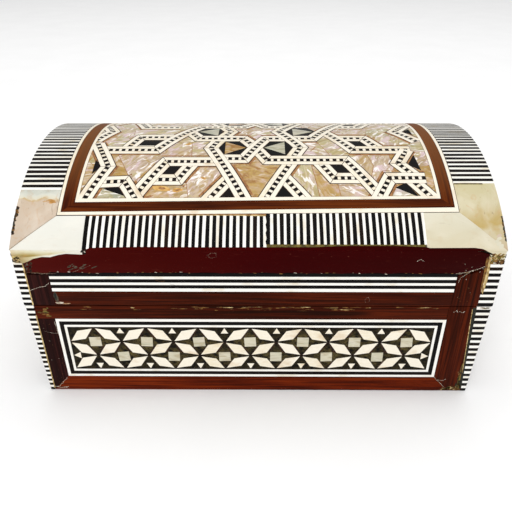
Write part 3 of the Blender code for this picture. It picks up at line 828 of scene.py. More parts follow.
class Strap:
    """One laminated strap that turns its corners on a mitre and stops at whatever strap runs past its end."""

    def __init__(self, points):
        self.path = modules(points)

    def legs(self):
        return list(zip(self.path, self.path[1:]))

    def stops(self, end, inner, straps):
        """The edge lines of the straps that run past this end, each as (point, normal)."""
        found = []
        for other in straps:
            if other is self:
                continue
            near = None
            for a, b in other.legs():
                share = min(1.0, max(0.0, (end - a).dot(b - a) / (b - a).length_squared))
                foot = a + (b - a) * share
                if near is None or (end - foot).length < near[0]:
                    near = ((end - foot).length, foot, a, b)
            distance, foot, a, b = near
            if distance > TOUCHING * MODULE:
                continue
            ends = min((foot - other.path[0]).length, (foot - other.path[-1]).length)
            at_border = abs(foot.y) > BORDER_LINE * MODULE
            if ends < END_ZONE * MODULE and (not at_border or straps.index(other) > straps.index(self)):
                continue
            normal = left_of(b - a)
            if (inner - a).dot(normal) > 0:
                normal = -normal
            found.append((a - normal * STRAP_HALF * MODULE, normal))
        return found

    def cuts(self, index, straps):
        """The lines that end one leg: mitres inside the path, stops or a square end outside it."""
        a, b = self.legs()[index]
        along = (b - a).normalized()
        found = []
        for end, inner, neighbour, sign in ((a, b, index - 1, -1), (b, a, index + 1, 1)):
            if 0 <= neighbour < len(self.legs()):
                c, d = self.legs()[neighbour]
                found.append((end, (along + (d - c).normalized()).normalized() * sign))
            else:
                found += self.stops(end, inner, straps) or [(end, along * sign)]
        return found

    def lay(self, inlay, straps):
        phase = between(0.0, 0.5) * MODULE
        for index, (a, b) in enumerate(self.legs()):
            along, out = (b - a).normalized(), left_of(b - a)
            cuts = self.cuts(index, straps)
            length, spare = (b - a).length, OVERRUN * MODULE

            def strip(start, stop, low, high, finish, top, edge=0.04, joint=0.09):
                outline = [a + along * start + out * low, a + along * stop + out * low,
                           a + along * stop + out * high, a + along * start + out * high]
                for point, normal in cuts:
                    outline = clip(outline, point - normal * joint, normal)
                inlay.tile(within_frame(outline), finish, top=top, depth=THIN, edge=edge,
                           turned=math.degrees(math.atan2(along.y, along.x)))

            wide, core = STRAP_HALF * MODULE, CORE_HALF * MODULE
            level = between(-0.008, 0.008)
            # a tan margin beside each strap, wider on some sides: partly stain, partly painted shade along
            # the strap's edges
            stain_and_shade_margins = [dice.choice((0.0, 0.0, 0.5, 0.9)) for side in (0, 1)]
            strip(-spare, length + spare, -wide - 0.3 - stain_and_shade_margins[0], wide + 0.3 + stain_and_shade_margins[1], "tan",
                  LAYER["strap_stain_and_shade"] + level, edge=0.02, joint=0.0)
            strip(-spare, length + spare, -wide - 0.32, wide + 0.32, "glue", LAYER["strap_glue"] + level,
                  edge=0.01, joint=0.0)
            for low, high in ((-wide, -core - 0.15), (core + 0.15, wide)):
                strip(-spare, length + spare, low, high, "bone", level)
            place = -spare - phase
            while place < length + spare:
                pitch = CHECK_PITCH * MODULE * between(0.94, 1.06)
                black = CHECK_BLACK * MODULE
                strip(place, place + black, -core, core, "ebony", level)
                strip(place + black, place + pitch, -core, core, "bone", level)
                place += pitch
            phase = (length - phase) % (CHECK_PITCH * MODULE)


def hexagon(centre, radius):
    return [centre + spoke(k * math.pi / 3) * radius for k in range(6)]


def shard_tone(point):
    """Golden along the long edges, pinker half way up, pale and greenish near the crest."""
    height = abs(point.y) / MODULE
    if height > 12.5:
        return between(0.55, 0.95)
    if height > 6.0:
        return dice.choice((0.36, 0.5, 0.62, 0.7, 0.85))
    return dice.choice((0.22, 0.34, 0.4, 0.5, 0.62))


def pearl_field(inlay, size):
    """Uneven shards that meet edge to edge: each takes the ground nearest to its own seed."""
    seeds = []
    rows, columns = math.ceil(MOSAIC_HALF_V / size) + 1, math.ceil(MOSAIC_HALF_U / size) + 1
    for row in range(-rows, rows + 1):
        for column in range(-columns, columns + 1):
            shift = 0.5 * (row % 2)
            seeds.append(Vector(((column + shift + between(-0.36, 0.36)) * size,
                                 (row + between(-0.36, 0.36)) * size)))
    for seed in seeds:
        outline = [seed + corner for corner in rectangle(-2 * size, 2 * size, -2 * size, 2 * size)]
        for other in seeds:
            apart = other - seed
            if 0 < apart.length < 3 * size:
                outline = clip(outline, (seed + other) / 2 - apart.normalized() * 0.05, apart.normalized())
        inlay.tile(within_frame(outline), "pearl", top=between(-0.085, -0.07), depth=THIN, edge=0.03,
                   tone=shard_tone(seed), turned=between(-80, 10))


def top_mosaic():
    """The barrel's pearl ground with its strapwork."""
    inlay = Inlay("top_strapwork_tiles", on_barrel)
    bed = rectangle(-MOSAIC_HALF_U, MOSAIC_HALF_U, -MOSAIC_HALF_V, MOSAIC_HALF_V)
    inlay.tile(within_frame(bed), "tan", top=LAYER["bed"])
    pearl_field(inlay, SHARD_SIZE)
    for flip in (False, True):
        turn, sign = (mirrored, -1) if flip else (list, 1)
        for outline, tone, heading in SHARDS:
            ground = cleaned(within_frame(modules(turn(outline))))
            inlay.tile(ground, "tan", top=LAYER["shard_line"], depth=THIN, edge=0.01)
            inlay.tile(inset(ground, 0.07), "pearl", top=LAYER["shard"], depth=THIN, tone=tone,
                       turned=sign * heading)
        for centre, length, width, heading in VEINS:
            (u, v), = modules(turn([centre]))
            outside = "resin" if width > EYE_WIDTH else "tan"
            for share, layer, finish in ((1.0, "vein", outside), (0.42, "vein_core", "tan")):
                inlay.patch(u, v, length * MODULE * share, width * MODULE * share, sign * heading, finish,
                            top=LAYER[layer], depth=THIN)
        if not flip:
            inlay.tile(modules(BONE_FIELD), "bone", top=LAYER["vein"], depth=THIN)
        for outline in FIELDS[flip:]:
            inlay.tile(within_frame(modules(turn(outline))), "ebony", top=LAYER["field"], depth=THIN)
    for x, s, heading in HEXAGONS:
        for flipped in {s, 2 * CREST_LINE - s}:
            centre = Vector((x, flipped)) * MODULE
            inlay.tile(hexagon(centre, HEXAGON_RADIUS * MODULE), "ebony", top=LAYER["field"], depth=THIN)
            aim = math.radians(heading + 180)
            third = 2 * math.pi / 3
            corners = [centre + spoke(aim + k) * TRIANGLE_RADIUS * MODULE for k in (0.0, third, -third)]
            finish, tone = ("pearl", 0.9) if x == HEXAGONS[2][0] else ("grey_pearl", 0.12)
            inlay.tile(corners, finish, top=LAYER["triangle"], depth=THIN, edge=0.08, tone=tone)
    straps = [Strap(points) for points in CROSSING + FRONT_HALF]
    straps += [Strap(mirrored(points)) for points in FRONT_HALF]
    for strap in straps:
        strap.lay(inlay, straps)
    inlay.build("lid", ["top_mosaic"], "pearl_strapwork")


def top_frame():
    """Bone, mahogany and bone lines round the strapwork."""
    lines = (("top_outer_bone_line", 1.3, "bone", "bone"),
             ("top_mahogany_frame", 3.9, "frame_wood", "mahogany"),
             ("top_inner_bone_line", 1.25, "bone", "bone"))
    u, v = FRAME_EDGE + 0.05, FRAME_REACH - 0.05

    def corners(edge):
        return [Vector((p.x, askew(edge, p.x, p.y))) for p in rectangle(-u, u, -v, v)]

    for edge, (node, width, finish, slot) in enumerate(lines):
        outer = corners(edge)
        u, v = u - width, v - width
        inner = corners(edge + 1)
        inlay = Inlay(node + "_strips", on_barrel)
        if finish == "bone":
            ring(inlay, outer, inner, "glue", top=-0.06)
            outer, inner = inset(outer, 0.13), inset(inner, -0.13)
        ring(inlay, outer, inner, finish)
        inlay.build("lid", [node], slot)


def sunk_top(u, v):
    """The left sheet was set low: it leaves a gap under the frame, widest at the joint."""
    first, last = span("shoulder_stripes_front_left", X)
    share = min(1.0, max(0.0, (u - first) / (last - first)))
    return flat_top(u, v) + 0.25 + 0.65 * share ** 3


def gap_filler(inlay, u0, u1, v):
    """Tan filler above the sunk sheet, and a paler wedge over the half next to the joint."""
    along = [u0 + (u1 - u0) * k / 16 for k in range(17)]
    for share, first, finish, top in ((0.0, 0, "tan", -0.04), (0.45, 8, "filler", -0.02)):
        upper = [(u, flat_top(u, v) * (1 - share) + sunk_top(u, v) * share) for u in along[first:]]
        lower = [(u, sunk_top(u, v) + 0.03) for u in along[first:]]
        inlay.tile(shape(*upper, *lower[::-1]), finish, top=top, edge=0.02)


def jagged_edge(inlay, u, v, high):
    """The broken black edge of the right sheet, along the joint."""
    top_v, teeth, back = flat_top(u, v), 11, u + 0.9
    left = [(u - 0.15 - 0.16 * (k * 5 % 3), top_v + (high - top_v) * k / teeth) for k in range(teeth + 1)]
    inlay.tile(shape((back, top_v), *left, (back, high)), "ebony", top=0.03, edge=0.02)


def shoulder_sheets():
    """Black and white strips standing upright along the shoulders."""
    high_v = SHOULDER + 0.05
    for word, face, high in (("front_left", 1, high_v - 0.4), ("front_right", 1, high_v - LACQUER_RISE - 1.0),
                             ("back", -1, high_v)):
        node = "shoulder_stripes_" + word
        u0, u1 = span(node, X)
        inlay = Inlay(node + "_strips", on_barrel)
        stripes(inlay, u0 - 0.12, u1 + 0.12, *sorted((face * FRAME_REACH, face * high)), 2.17, upright=True,
                skew=0.06, black=0.56, above=sunk_top if word == "front_left" else flat_top)
        if word == "front_left":
            gap_filler(inlay, u0, u1, FRAME_REACH)
        if word == "front_right":
            jagged_edge(inlay, u0, FRAME_REACH, high)
        inlay.build("lid", [node], "bone_and_ebony_laminate")


def end_sheets():
    """Strips laid across the two ends of the barrel."""
    for side, word in SIDES:
        node, reach = "end_stripes_" + word, STRIP_REACH[word]
        inlay = Inlay(node + "_strips", on_barrel)
        stripes(inlay, *sorted((side * (FRAME_EDGE + 0.1), side * LID_HALF)), -reach, reach, 2.23, skew=0.08,
                black=0.6)
        inlay.build("lid", [node], "bone_and_ebony_laminate")


def shell_blocks():
    """Mitred shell pieces where the end strips meet the shoulder strips."""
    seams = {"left": (0.1, 0.25), "right": (0.0, 0.08)}      # gap at the mitre, easing of the edges
    inner_edges = {("front", "left"): 56.1, ("front", "right"): 54.0,
                   ("back", "left"): 55.1, ("back", "right"): 55.1}
    low_u, high_u = FRAME_EDGE + 0.1, LID_HALF
    for side, word in SIDES:
        reach, (gap, eased) = STRIP_REACH[word], seams[word]

        def down_the_curve(u, v, reach=reach):
            return min(1.0, max(0.0, (abs(v) - reach) / (SHOULDER - reach)))

        for face, row in ((1, "front"), (-1, "back")):
            inner_u = inner_edges[row, word]
            near_v, strip_v = (abs(askew(0, side * u, face * (FRAME_REACH + 0.05))) for u in (low_u, inner_u))
            end_block = [(low_u, reach), (high_u, reach), (high_u, SHOULDER - gap), (low_u, near_v - gap)]
            face_block = [(low_u, near_v), (inner_u, strip_v), (inner_u, SHOULDER), (high_u - gap, SHOULDER)]
            for kind, finish, outline in (("end", "shell_", end_block), ("face", "face_", face_block)):
                node = f"pearl_{kind}_block_{row}_{word}"
                inlay = Inlay(node + "_shell", on_barrel)
                turned_out = shape(*((side * u, face * v) for u, v in outline))
                inlay.tile(turned_out, finish + word, edge=eased, steps=3, tone=down_the_curve,
                           turned=90 * (kind == "end"))
                inlay.build("lid", [node], "mother_of_pearl")


# ---- front of the box -----------------------------------------------------

def veneer(node, outline, finish, body, slot, turned=0.0):
    inlay = Inlay(node + "_veneer", on_front)
    inlay.tile(outline, finish, edge=0.12, steps=2, turned=turned)
    return inlay.build(body, [node], slot)


def body_front():
    """The line border round the star mosaic, between two rails and two posts."""
    margin = 0.12
    left, right = (u + sign * margin for u, sign in zip(span("front_inlay_border", X), (-1, 1)))
    low, high = (v + sign * margin for v, sign in zip(span("front_inlay_border", Z), (-1, 1)))
    border = Inlay("front_border_lines", on_front)
    opening = line_frame(border, (left, right, low, high), LINE_BORDER)
    border.build("box", ["front_inlay_border"], "bone_and_ebony_lines")
    mosaic = Inlay("front_star_mosaic", on_front)
    star_mosaic(mosaic, opening, 7)
    mosaic.build("box", ["front_mosaic"], "bone_and_ebony_mosaic")
    left_edge = -STICK_EDGE["front", "left"][1]
    right_foot, right_rim, _ = STICK_EDGE["front", "right"]
    rail = Inlay("front_top_rail_veneer", on_front)
    rail.tile(rectangle(left_edge, right - 0.05, high, BODY_TOP), "mahogany", edge=0.2, steps=3)
    for k in range(60):
        place = Vector((between(-60, 62) if k % 3 else between(-30, 44),
                        BODY_TOP - 0.3 - 1.6 * dice.random() ** 2))
        rail.tile(blob(place, between(0.3, 2.2), between(0.06, 0.22)),
                  "worn" if dice.random() < 0.8 else "filler", top=0.01, edge=0.01)
    rail.build("box", ["front_top_rail"], "mahogany")
    under_rail = high - 0.04
    beside = left - 0.04
    left_post = shape((left_edge, 0.3), (beside, low), (beside, under_rail), (left_edge, under_rail))
    right_post = shape((70.9, 0.0), (right_foot, 0.0), (right_rim, BODY_TOP), (right, BODY_TOP), (right, low))
    bottom_rail = shape((-76.1, 0.0), (70.8, 0.0), (right - 0.05, low - 0.05), (left, low - 0.05))
    veneer("front_left_post", left_post, "dark_wood", "box", "dark_wood", turned=90)
    veneer("front_right_post", right_post, "mahogany", "box", "mahogany", turned=90)
    veneer("front_bottom_rail", bottom_rail, "red_mahogany", "box", "mahogany")


def lid_front():
    """Five lines under the red band, a rail under the lines, and a post on each side."""
    left, right = span("lid_line_inlay", X)
    line_left, line_right = left - 0.1, right + 0.1
    lines = Inlay("lid_front_lines", on_front)
    widths = ((1.25, "bone_white"), (1.3, "ebony"), (0.95, "bone_white"), (1.3, "ebony"), (1.0, "bone_white"))
    level = LINES_LOW
    for width, finish in widths:
        lines.tile(rectangle(line_left, line_right, level, level + width + 0.02), finish, edge=0.03,
                   top=between(-LIFT, LIFT / 2))
        level += width + 0.03
    lines.tile(rectangle(line_left, line_right, level, LINES_HIGH + 0.95), "ebony", edge=0.03, top=-0.04)
    lines.build("lid", ["lid_line_inlay"], "bone_and_ebony_lines")
    rail = Inlay("lid_front_rail_veneer", on_front)
    rail.tile(rectangle(line_left, line_right, LID_BOTTOM, LINES_LOW - 0.06), "mahogany", edge=0.15, steps=2)
    rail.build("lid", ["lid_front_rail"], "mahogany")
    post_left, post_right = -STICK_EDGE["front", "left"][2], STICK_EDGE["front", "right"][2]
    post_inner, line_top = right + 0.14, LINES_HIGH + 0.1
    left_post = rectangle(post_left, left - 0.14, LID_BOTTOM, line_top)
    right_post = shape((post_inner, LID_BOTTOM), (post_right, LID_BOTTOM),
                       (post_right, LINES_HIGH + BAND_CLIMB + 0.4), (70.0, LINES_HIGH + 0.9),
                       (post_inner, line_top))
    veneer("lid_left_post", left_post, "dark_wood", "lid", "dark_wood", turned=90)
    veneer("lid_right_post", right_post, "mahogany", "lid", "mahogany", turned=90)
    red_band(post_left, post_right, LINES_HIGH + 0.2)


def red_band(left, right, low):
    """Lacquered band under the shoulder, its lower edge chipped away in short flakes."""
    inlay = Inlay("lid_red_band_lacquer", on_front)
    count, climb_from = 70, 65.0
    rough = []
    for i in range(count + 1):
        u = left + (right - left) * i / count
        climb = BAND_CLIMB * max(0.0, (u - climb_from) / (right - climb_from)) ** 1.4
        rough.append(Vector((u, low + 0.75 + climb + between(-0.2, 0.25))))
    inlay.tile(rough + shape((right, BAND_TOP), (left, BAND_TOP)), "red_lacquer", edge=0.12, steps=2)
    for i in range(1, count):
        if dice.random() < 0.5:
            at = rough[i] + Vector((between(-0.4, 0.4), between(-0.05, 0.2)))
            inlay.tile(blob(at, between(0.15, 0.7), between(0.05, 0.16), between(-12, 12), 7),
                       "chalk" if dice.random() < 0.3 else "worn", top=0.015, edge=0.02)
    smear_u, smear_v = -58.0, 54.4
    for k in range(14):
        inlay.patch(smear_u + dice.gauss(0, 2.2), smear_v + dice.gauss(0, 0.6), between(0.4, 1.3),
                    between(0.1, 0.35), 25, "smear", top=0.012, edge=0.01)
    inlay.build("lid", ["lid_red_band"], "red_lacquer")


def ends():
    """Body ends: a shorter star mosaic between mahogany rails; lid ends: an arch with the same five lines."""
    low, high = span("left_end_mosaic", Z)
    half = span("left_end_mosaic", Y)[1] + 0.2
    post = half + 0.05
    edge = 47.55              # half width between the corner sticks
    spring = 59.25            # height where the arch springs
    radius = CREST_RADIUS - SKIN - 0.1
    widest = math.asin(51.3 / radius)
    curve = [(radius * math.sin(a), CREST_AXIS + radius * math.cos(a))
             for a in [widest - 2 * widest * i / 48 for i in range(49)]]
    pitch = (LINES_HIGH - LINES_LOW) / 5
    for side, word in SIDES:
        mosaic = Inlay(word + "_end_star_mosaic", on_body_end(side))
        opening = line_frame(mosaic, (-half, half, low - 0.2, high + 0.2), LINE_BORDER)
        star_mosaic(mosaic, opening, 4)
        mosaic.build("box", [word + "_end_mosaic"], "bone_and_ebony_mosaic")
        rails = Inlay(word + "_end_rails", on_body_end(side))
        rails.tile(rectangle(-edge, edge, high + 0.25, BODY_TOP), "mahogany", edge=0.15, steps=2)
        rails.tile(shape((-edge, 0), (edge, 0), (half, low - 0.25), (-half, low - 0.25)), "mahogany",
                   edge=0.15, steps=2)
        for sign in (-1, 1):
            rails.tile(shape((sign * edge, 0.2), (sign * post, low - 0.2), (sign * post, high + 0.2),
                             (sign * edge, high + 0.2)), "mahogany", edge=0.12, steps=2, turned=90)
        rails.build("box", [word + "_end_veneer"], "mahogany")
        arch = Inlay(f"lid_{word}_end_arch", on_lid_end(side))
        arch.tile(shape((-edge, LINES_HIGH), (edge, LINES_HIGH), (edge, spring), *curve, (-edge, spring)),
                  "mahogany", edge=0.15, steps=2)
        arch.tile(rectangle(-edge, edge, LID_BOTTOM, LINES_LOW), "mahogany", edge=0.15, steps=2)
        for i in range(5):
            arch.tile(rectangle(-edge, edge, LINES_LOW + pitch * i, LINES_LOW + pitch * (i + 1)),
                      "ebony" if i % 2 else "bone", edge=0.03)
        arch.build("lid", [f"lid_{word}_end_veneer"], "mahogany")


# ---- corner sticks --------------------------------------------------------

STICK_DEPTH = 5.0
STICK_PITCH = {"left": 2.12, "right": 2.42}
HINGE_Z = 38.8
GROOVE_DEEP, GROOVE_SLOPE = 50.5, 0.82    # the bevel that lets the lid lean back


def stick_plan(outer, inner, face):
    """The stick seen from above, with its outside corner rounded."""
    soft = 0.45
    behind = min(HALF_DEPTH - SKIN, face - 0.15)
    corner = [(outer - soft * (1 - math.cos(a)), face - soft * (1 - math.sin(a)))
              for a in [math.radians(30 * k) for k in range(4)]]
    return corner + [(inner, face), (inner, behind), (outer - SKIN, behind),
                     (outer - SKIN, HALF_DEPTH - STICK_DEPTH), (outer, HALF_DEPTH - STICK_DEPTH)]


def corner_stick(part, body, row, word, z0, z1, widths):
    """Black and white layers stacked up one corner. widths gives (outer, inner) at a height."""
    side = -1 if word == "left" else 1
    face = -1 if row == "front" else 1
    bm = bmesh.new()
    grain = bm.verts.layers.float_vector.new("grain")
    edges = laminate(z0, z1, STICK_PITCH[word], 0.54)
    for i, (low, high) in enumerate(zip(edges, edges[1:])):
        rings = []
        proud = between(-0.03, 0.02)
        for z in (low, high):
            outer, inner = widths(z)
            depth = HALF_DEPTH + proud
            if row == "back":
                depth = min(depth, GROOVE_DEEP + GROOVE_SLOPE * abs(z - HINGE_Z))
            plan = stick_plan(outer + proud, inner, depth)
            rings.append([bm.verts.new((side * x, face * y, z)) for x, y in plan])
        made = [bm.faces.new(rings[0]), bm.faces.new(rings[1])]
        for k in range(len(rings[0])):
            j = (k + 1) % len(rings[0])
            made.append(bm.faces.new((rings[0][k], rings[0][j], rings[1][j], rings[1][k])))
        for side_face in made:
            side_face.material_index = i % 2
        for vert in rings[0] + rings[1]:
            vert[grain] = (vert.co.x + vert.co.y, vert.co.z, i * LAYER_STEP)
    bmesh.ops.recalc_face_normals(bm, faces=bm.faces[:])
    bmesh.ops.scale(bm, vec=(MM, MM, MM), verts=bm.verts[:])
    finish_object(f"{part}_stick_{row}_{word}_layers", bm, ["ebony", "bone_white"], body,
                  [f"{part}_corner_stick_{row}_{word}"], "bone_and_ebony_laminate")


def corner_sticks():
    for (row, word), (foot, rim, on_lid) in STICK_EDGE.items():

        def body_widths(z, foot=foot, rim=rim):
            return end_of_body(z), foot + (rim - foot) * z / BODY_TOP

        def lid_widths(z, on_lid=on_lid):
            return LID_HALF, on_lid

        corner_stick("body", "box", row, word, 0.0, BODY_TOP, body_widths)
        corner_stick("lid", "lid", row, word, LID_BOTTOM, SHOULDER_Z - 0.3, lid_widths)


# ---- wear on the front ----------------------------------------------------

def scratch(inlay, points, width, finish, top=0.02):
    """A fine scratch along a broken line."""
    path = shape(*points)
    for a, b in zip(path, path[1:]):
        steps = max(1, round((b - a).length / 0.8))
        for i in range(steps):
            start, stop = a + (b - a) * (i / steps), a + (b - a) * ((i + 0.86) / steps)
            out = left_of(b - a) * width * between(0.25, 0.6)
            shift = left_of(b - a) * between(-0.1, 0.1)
            start, stop, tip = start + shift, stop + shift, out * 0.6
            inlay.tile([start - out, stop - tip, stop + tip, start + out], finish, top=top, depth=FLECK,
                       edge=0.005)


def specks(inlay, count, across, along, longest, pale):
    """Specks of dust between two values of u and of v. One in so many is pale."""
    for k in range(count):
        inlay.patch(between(*across), between(*along), between(0.05, longest), 0.06,
                    between(0, 180), "worn" if k % pale else "chalk", top=0.012, points=6,
                    depth=FLECK, edge=0.005)


def left_corner(fill):
    """Shell that runs down over the lid's left corner, with old filler and dark spots under it."""
    top, gold_at = BAND_TOP, -79.0

    def tone(u, v):
        """Gold at the outer corner, low down."""
        return min(1.0, (top + 0.6 - v) / 3.6) * max(0.0, 1 - (u - gold_at) / 11.0)

    fill.tile(shape((-79.1, top), (-79.15, 57.6), (-78.7, 55.7), (-76.2, 55.5), (-74.3, 56.2), (-72.3, 57.3),
                    (-69.4, 58.0), (-66.7, 57.9), (-63.8, 58.8), (-61.4, 59.2), (-56.2, 58.9), (-55.9, top)),
              "corner_left", top=0.06, edge=0.15, steps=3, tone=tone)
    for k in range(16):
        fill.patch(between(-78.8, -76.3), between(56.0, 58.3), between(0.3, 0.9),
                   between(0.15, 0.4), between(-30, 60), ("amber", "filler", "olive"), top=0.075)
    for k in range(26):
        fill.patch(-75.9 + 2.6 * dice.random() ** 1.4, between(52.2, 56.6), between(0.2, 0.8),
                   between(0.15, 0.45), 70, ("smear", "glue", "glue", "worn"))


def right_corner(fill):
    """The same on the right, where olive filler covers most of the shell, and glue down the post's edge."""
    top = BAND_TOP
    fill.tile(shape((70.0, top), (72.6, top - 0.1), (73.6, top - 0.6), (74.5, 58.5), (75.0, 57.2),
                    (75.6, 55.8), (78.6, 55.6), (79.1, 57.6), (79.15, top)),
              "face_right", top=0.06, edge=0.15, steps=3, tone=1.0)
    for k in range(80):
        low = dice.random()
        finishes = ("olive", "worn", "filler", "olive") if low > 0.3 else ("olive", "glue", "worn")
        fill.patch(75.0 + 3.7 * dice.random(), 55.9 + 3.5 * low, between(0.3, 0.8), between(0.2, 0.5),
                   between(0, 90), finishes, top=(0.08, 0.12))
    fill.tile(shape((73.2, 57.9), (74.1, 58.7), (74.4, 53.0), (74.2, 44.5), (73.7, 46.5), (73.5, 53.0)),
              "worn", top=0.03)
    fill.tile(shape((74.1, 58.7), (74.9, 57.6), (75.4, 50.0), (74.9, 43.5), (74.3, 45.0), (74.3, 53.0)),
              "filler", top=0.05)


def over_the_shoulder():
    """Glue at the barrel's outer edges, a rust stain, chips, and lacquer that comes up over the shoulder."""
    step = Inlay("shoulder_filler", on_barrel)
    count = 24
    for side, first, last, reach in ((-1, 43.0, 52.8, 0.75), (1, 46.5, 55.0, 0.4)):
        for k in range(count):
            wide = reach * between(0.4, 1.0)
            step.patch(side * (LID_HALF - wide), first + (last - first) * k / (count - 1), wide,
                       between(0.25, 0.6), finish=("dark_glue", "glue", "dark_glue", "worn"))
    for k in range(16):
        away = dice.random() ** 1.5
        step.patch(-FRAME_EDGE - 1.6 - 4.6 * away, 41.3 + dice.gauss(0.0, 0.5) - 0.9 * away,
                   between(0.5, 1.4), between(0.08, 0.28) * (1.2 - away), between(-6, 6), "rust",
                   top=0.012, edge=0.01)
    for k in range(5):
        step.patch(between(76.2, 77.8), 53.2 + 0.9 * k, between(0.9, 1.5), between(0.5, 0.8),
                   between(-60, -20), ("face_right", "shell_left"), top=(0.01, 0.03), points=7, edge=0.03)
    step.tile(rectangle(FRAME_EDGE + 0.2, LID_HALF - 4.0, 33.0, 33.6), "olive", top=0.03, edge=0.02)
    low, rise = SHOULDER + 0.06, SHOULDER - LACQUER_RISE
    step.tile(rectangle(2.9, 53.6, rise - 1.0, rise + 0.05), "olive", top=-0.12)
    step.tile(shape((-55.2, low), (-55.0, rise + 0.9), (-53.4, rise + 0.35), (-49.0, rise + 0.2),
                    (-38.0, rise), (-12.0, rise + 0.08), (18.0, rise), (28.0, rise - 0.45),
                    (44.0, rise - 0.5), (53.4, rise - 0.1), (55.0, rise + 0.2), (69.0, rise + 0.1),
                    (71.6, rise + 0.5), (72.9, low)),
              "red_lacquer", top=0.03, edge=0.02)
    step.build("lid", [], "bone_and_ebony_laminate")


def lid_wear():
    """Shell and filler that run down over the corners of the red band, with chips and scratches."""
    fill = Inlay("lid_corner_filler", on_front)
    left_corner(fill)
    right_corner(fill)
    fill.tile(rectangle(-76.45, -76.0, LID_BOTTOM, 55.8), "filler", top=0.02, edge=0.02)
    for k in range(7):
        fill.patch(-56.0 + between(-0.6, 1.0), BAND_TOP + between(-1.3, 0.0), 0.45, 0.3,
                   finish=("dark_glue", "dark_glue", "chalk"), top=0.06)
    # the chip in the left post
    fill.patch(-67.8, 42.2, 0.8, 2.3, finish="smear", edge=0.03)
    fill.patch(-67.9, 42.6, 0.5, 1.7, finish="dark_glue", top=0.03, edge=0.03)
    fill.patch(-67.0, 39.9, 1.4, 0.5, finish="chalk", top=0.03, edge=0.03)
    fill.patch(-64.8, 39.6, 1.5, 0.25, 5, "beige", top=0.03, edge=0.03)
    for width, finish, *points in (
            (0.16, "chalk", (-76.0, 44.9), (-72.6, 46.3), (-70.9, 46.5), (-68.9, 48.0)),
            (0.1, "dust", (-75.6, 52.2), (-71.0, 51.6), (-66.0, 51.7)),
            (0.12, "dust", (-60.5, 52.2), (-57.5, 53.6), (-54.0, 54.9)),
            (0.12, "dust", (-16.4, 58.8), (-15.0, 57.7), (-13.4, 58.0), (-13.2, 59.4), (-14.8, 59.6),
             (-16.2, 58.6)),
            (0.13, "chalk", (51.2, 56.6), (52.2, 57.4), (53.6, 56.5)),
            (0.12, "dust", (36.4, 40.2), (36.0, 41.6), (37.0, 42.6), (37.7, 41.4), (36.9, 40.2)),
            (0.2, "chalk", (64.6, 51.9), (68.0, 52.6), (71.0, 53.6), (73.6, 54.8)),
            (0.13, "chalk", (69.0, 52.6), (66.4, 50.2), (66.0, 48.2)),
            (0.14, "worn", (-29.0, 47.8), (-27.4, 47.2)),
            (0.12, "worn", (-33.6, 49.4), (-32.0, 48.6), (-30.4, 48.9))):
        scratch(fill, points, width, finish)
    specks(fill, 46, (66.6, 73.6), (40.5, 56.0), 0.28, 3)
    fill.build("lid", [], "mahogany")
    over_the_shoulder()


def body_wear():
    """Glue lines beside the corner sticks, worn polish at the feet and fine scratches."""
    fill = Inlay("body_edge_glue_lines", on_front)
    fill.tile(shape((75.0, 1.2), (75.95, 0.9), (74.2, BODY_TOP - 0.3), (72.9, BODY_TOP - 0.3)), "dark_glue",
              top=0.02)
    fill.tile(shape((74.75, 9.0), (75.0, 9.0), (72.95, BODY_TOP - 1.0), (72.7, BODY_TOP - 1.0)), "filler",
              top=0.03, edge=0.02)
    fill.tile(shape((-76.35, 0.6), (-75.95, 0.6), (-75.95, BODY_TOP - 4), (-76.4, BODY_TOP - 4)), "filler",
              top=0.02, edge=0.02)
    for k in range(34):
        near = dice.random() ** 1.6
        fill.patch(75.2 - 6.5 * near, 0.5 + 3.2 * dice.random() * (1 - near), between(0.3, 0.9),
                   between(0.2, 0.5), between(-30, 30), ("olive", "olive", "worn", "filler"))
    for z, reach, wide in ((2.2, 1.8, 1.0), (5.6, 3.4, 0.8), (10.2, 2.6, 0.5)):
        fill.patch(74.7 - 0.03 * z, z, reach, wide, 92, "olive", top=0.012)
    for k in range(26):
        z = 0.8 + 12.0 * dice.random() ** 1.5
        fill.patch(75.1 - 0.04 * z - between(0.0, 1.5), z, between(0.4, 1.3), between(0.15, 0.4),
                   between(70, 100), ("olive", "worn", "dark_glue"), top=0.015)
    for k in range(12):
        fill.patch(between(74.6, 78.4), BODY_TOP - 0.45 + between(-0.2, 0.1), between(0.3, 0.8),
                   between(0.1, 0.25), finish=("filler", "olive", "chalk"), top=0.06)
    for k in range(12):
        fill.patch(between(-75.8, -71.5), between(BODY_TOP - 4.6, BODY_TOP - 0.4), between(0.4, 1.2),
                   between(0.2, 0.5), finish=("worn", "olive"), top=0.012)
    for width, *points in (
            (0.3, (-76.0, 1.6), (-73.4, 0.8), (-70.6, 1.4)),
            (0.2, (-74.6, 1.2), (-70.4, 6.0)),
            (0.08, (-74.5, 27.6), (-71.0, 26.7), (-69.8, 27.0)),
            (0.2, (-70.3, 32.0), (-69.9, 26.0)),
            (0.14, (66.6, 36.4), (67.6, 37.2), (68.2, 36.2)),
            (0.14, (68.6, 36.8), (69.8, 36.2), (70.4, 37.0)),
            (0.14, (66.4, 5.4), (68.6, 5.0), (69.4, 6.0)),
            (0.14, (65.0, 6.6), (70.6, 0.4))):
        scratch(fill, points, width, "chalk")
    specks(fill, 40, (-75.4, -70.4), (1.0, 33.0), 0.2, 4)
    fill.build("box", [], "mahogany")


# ---- velvet lining --------------------------------------------------------

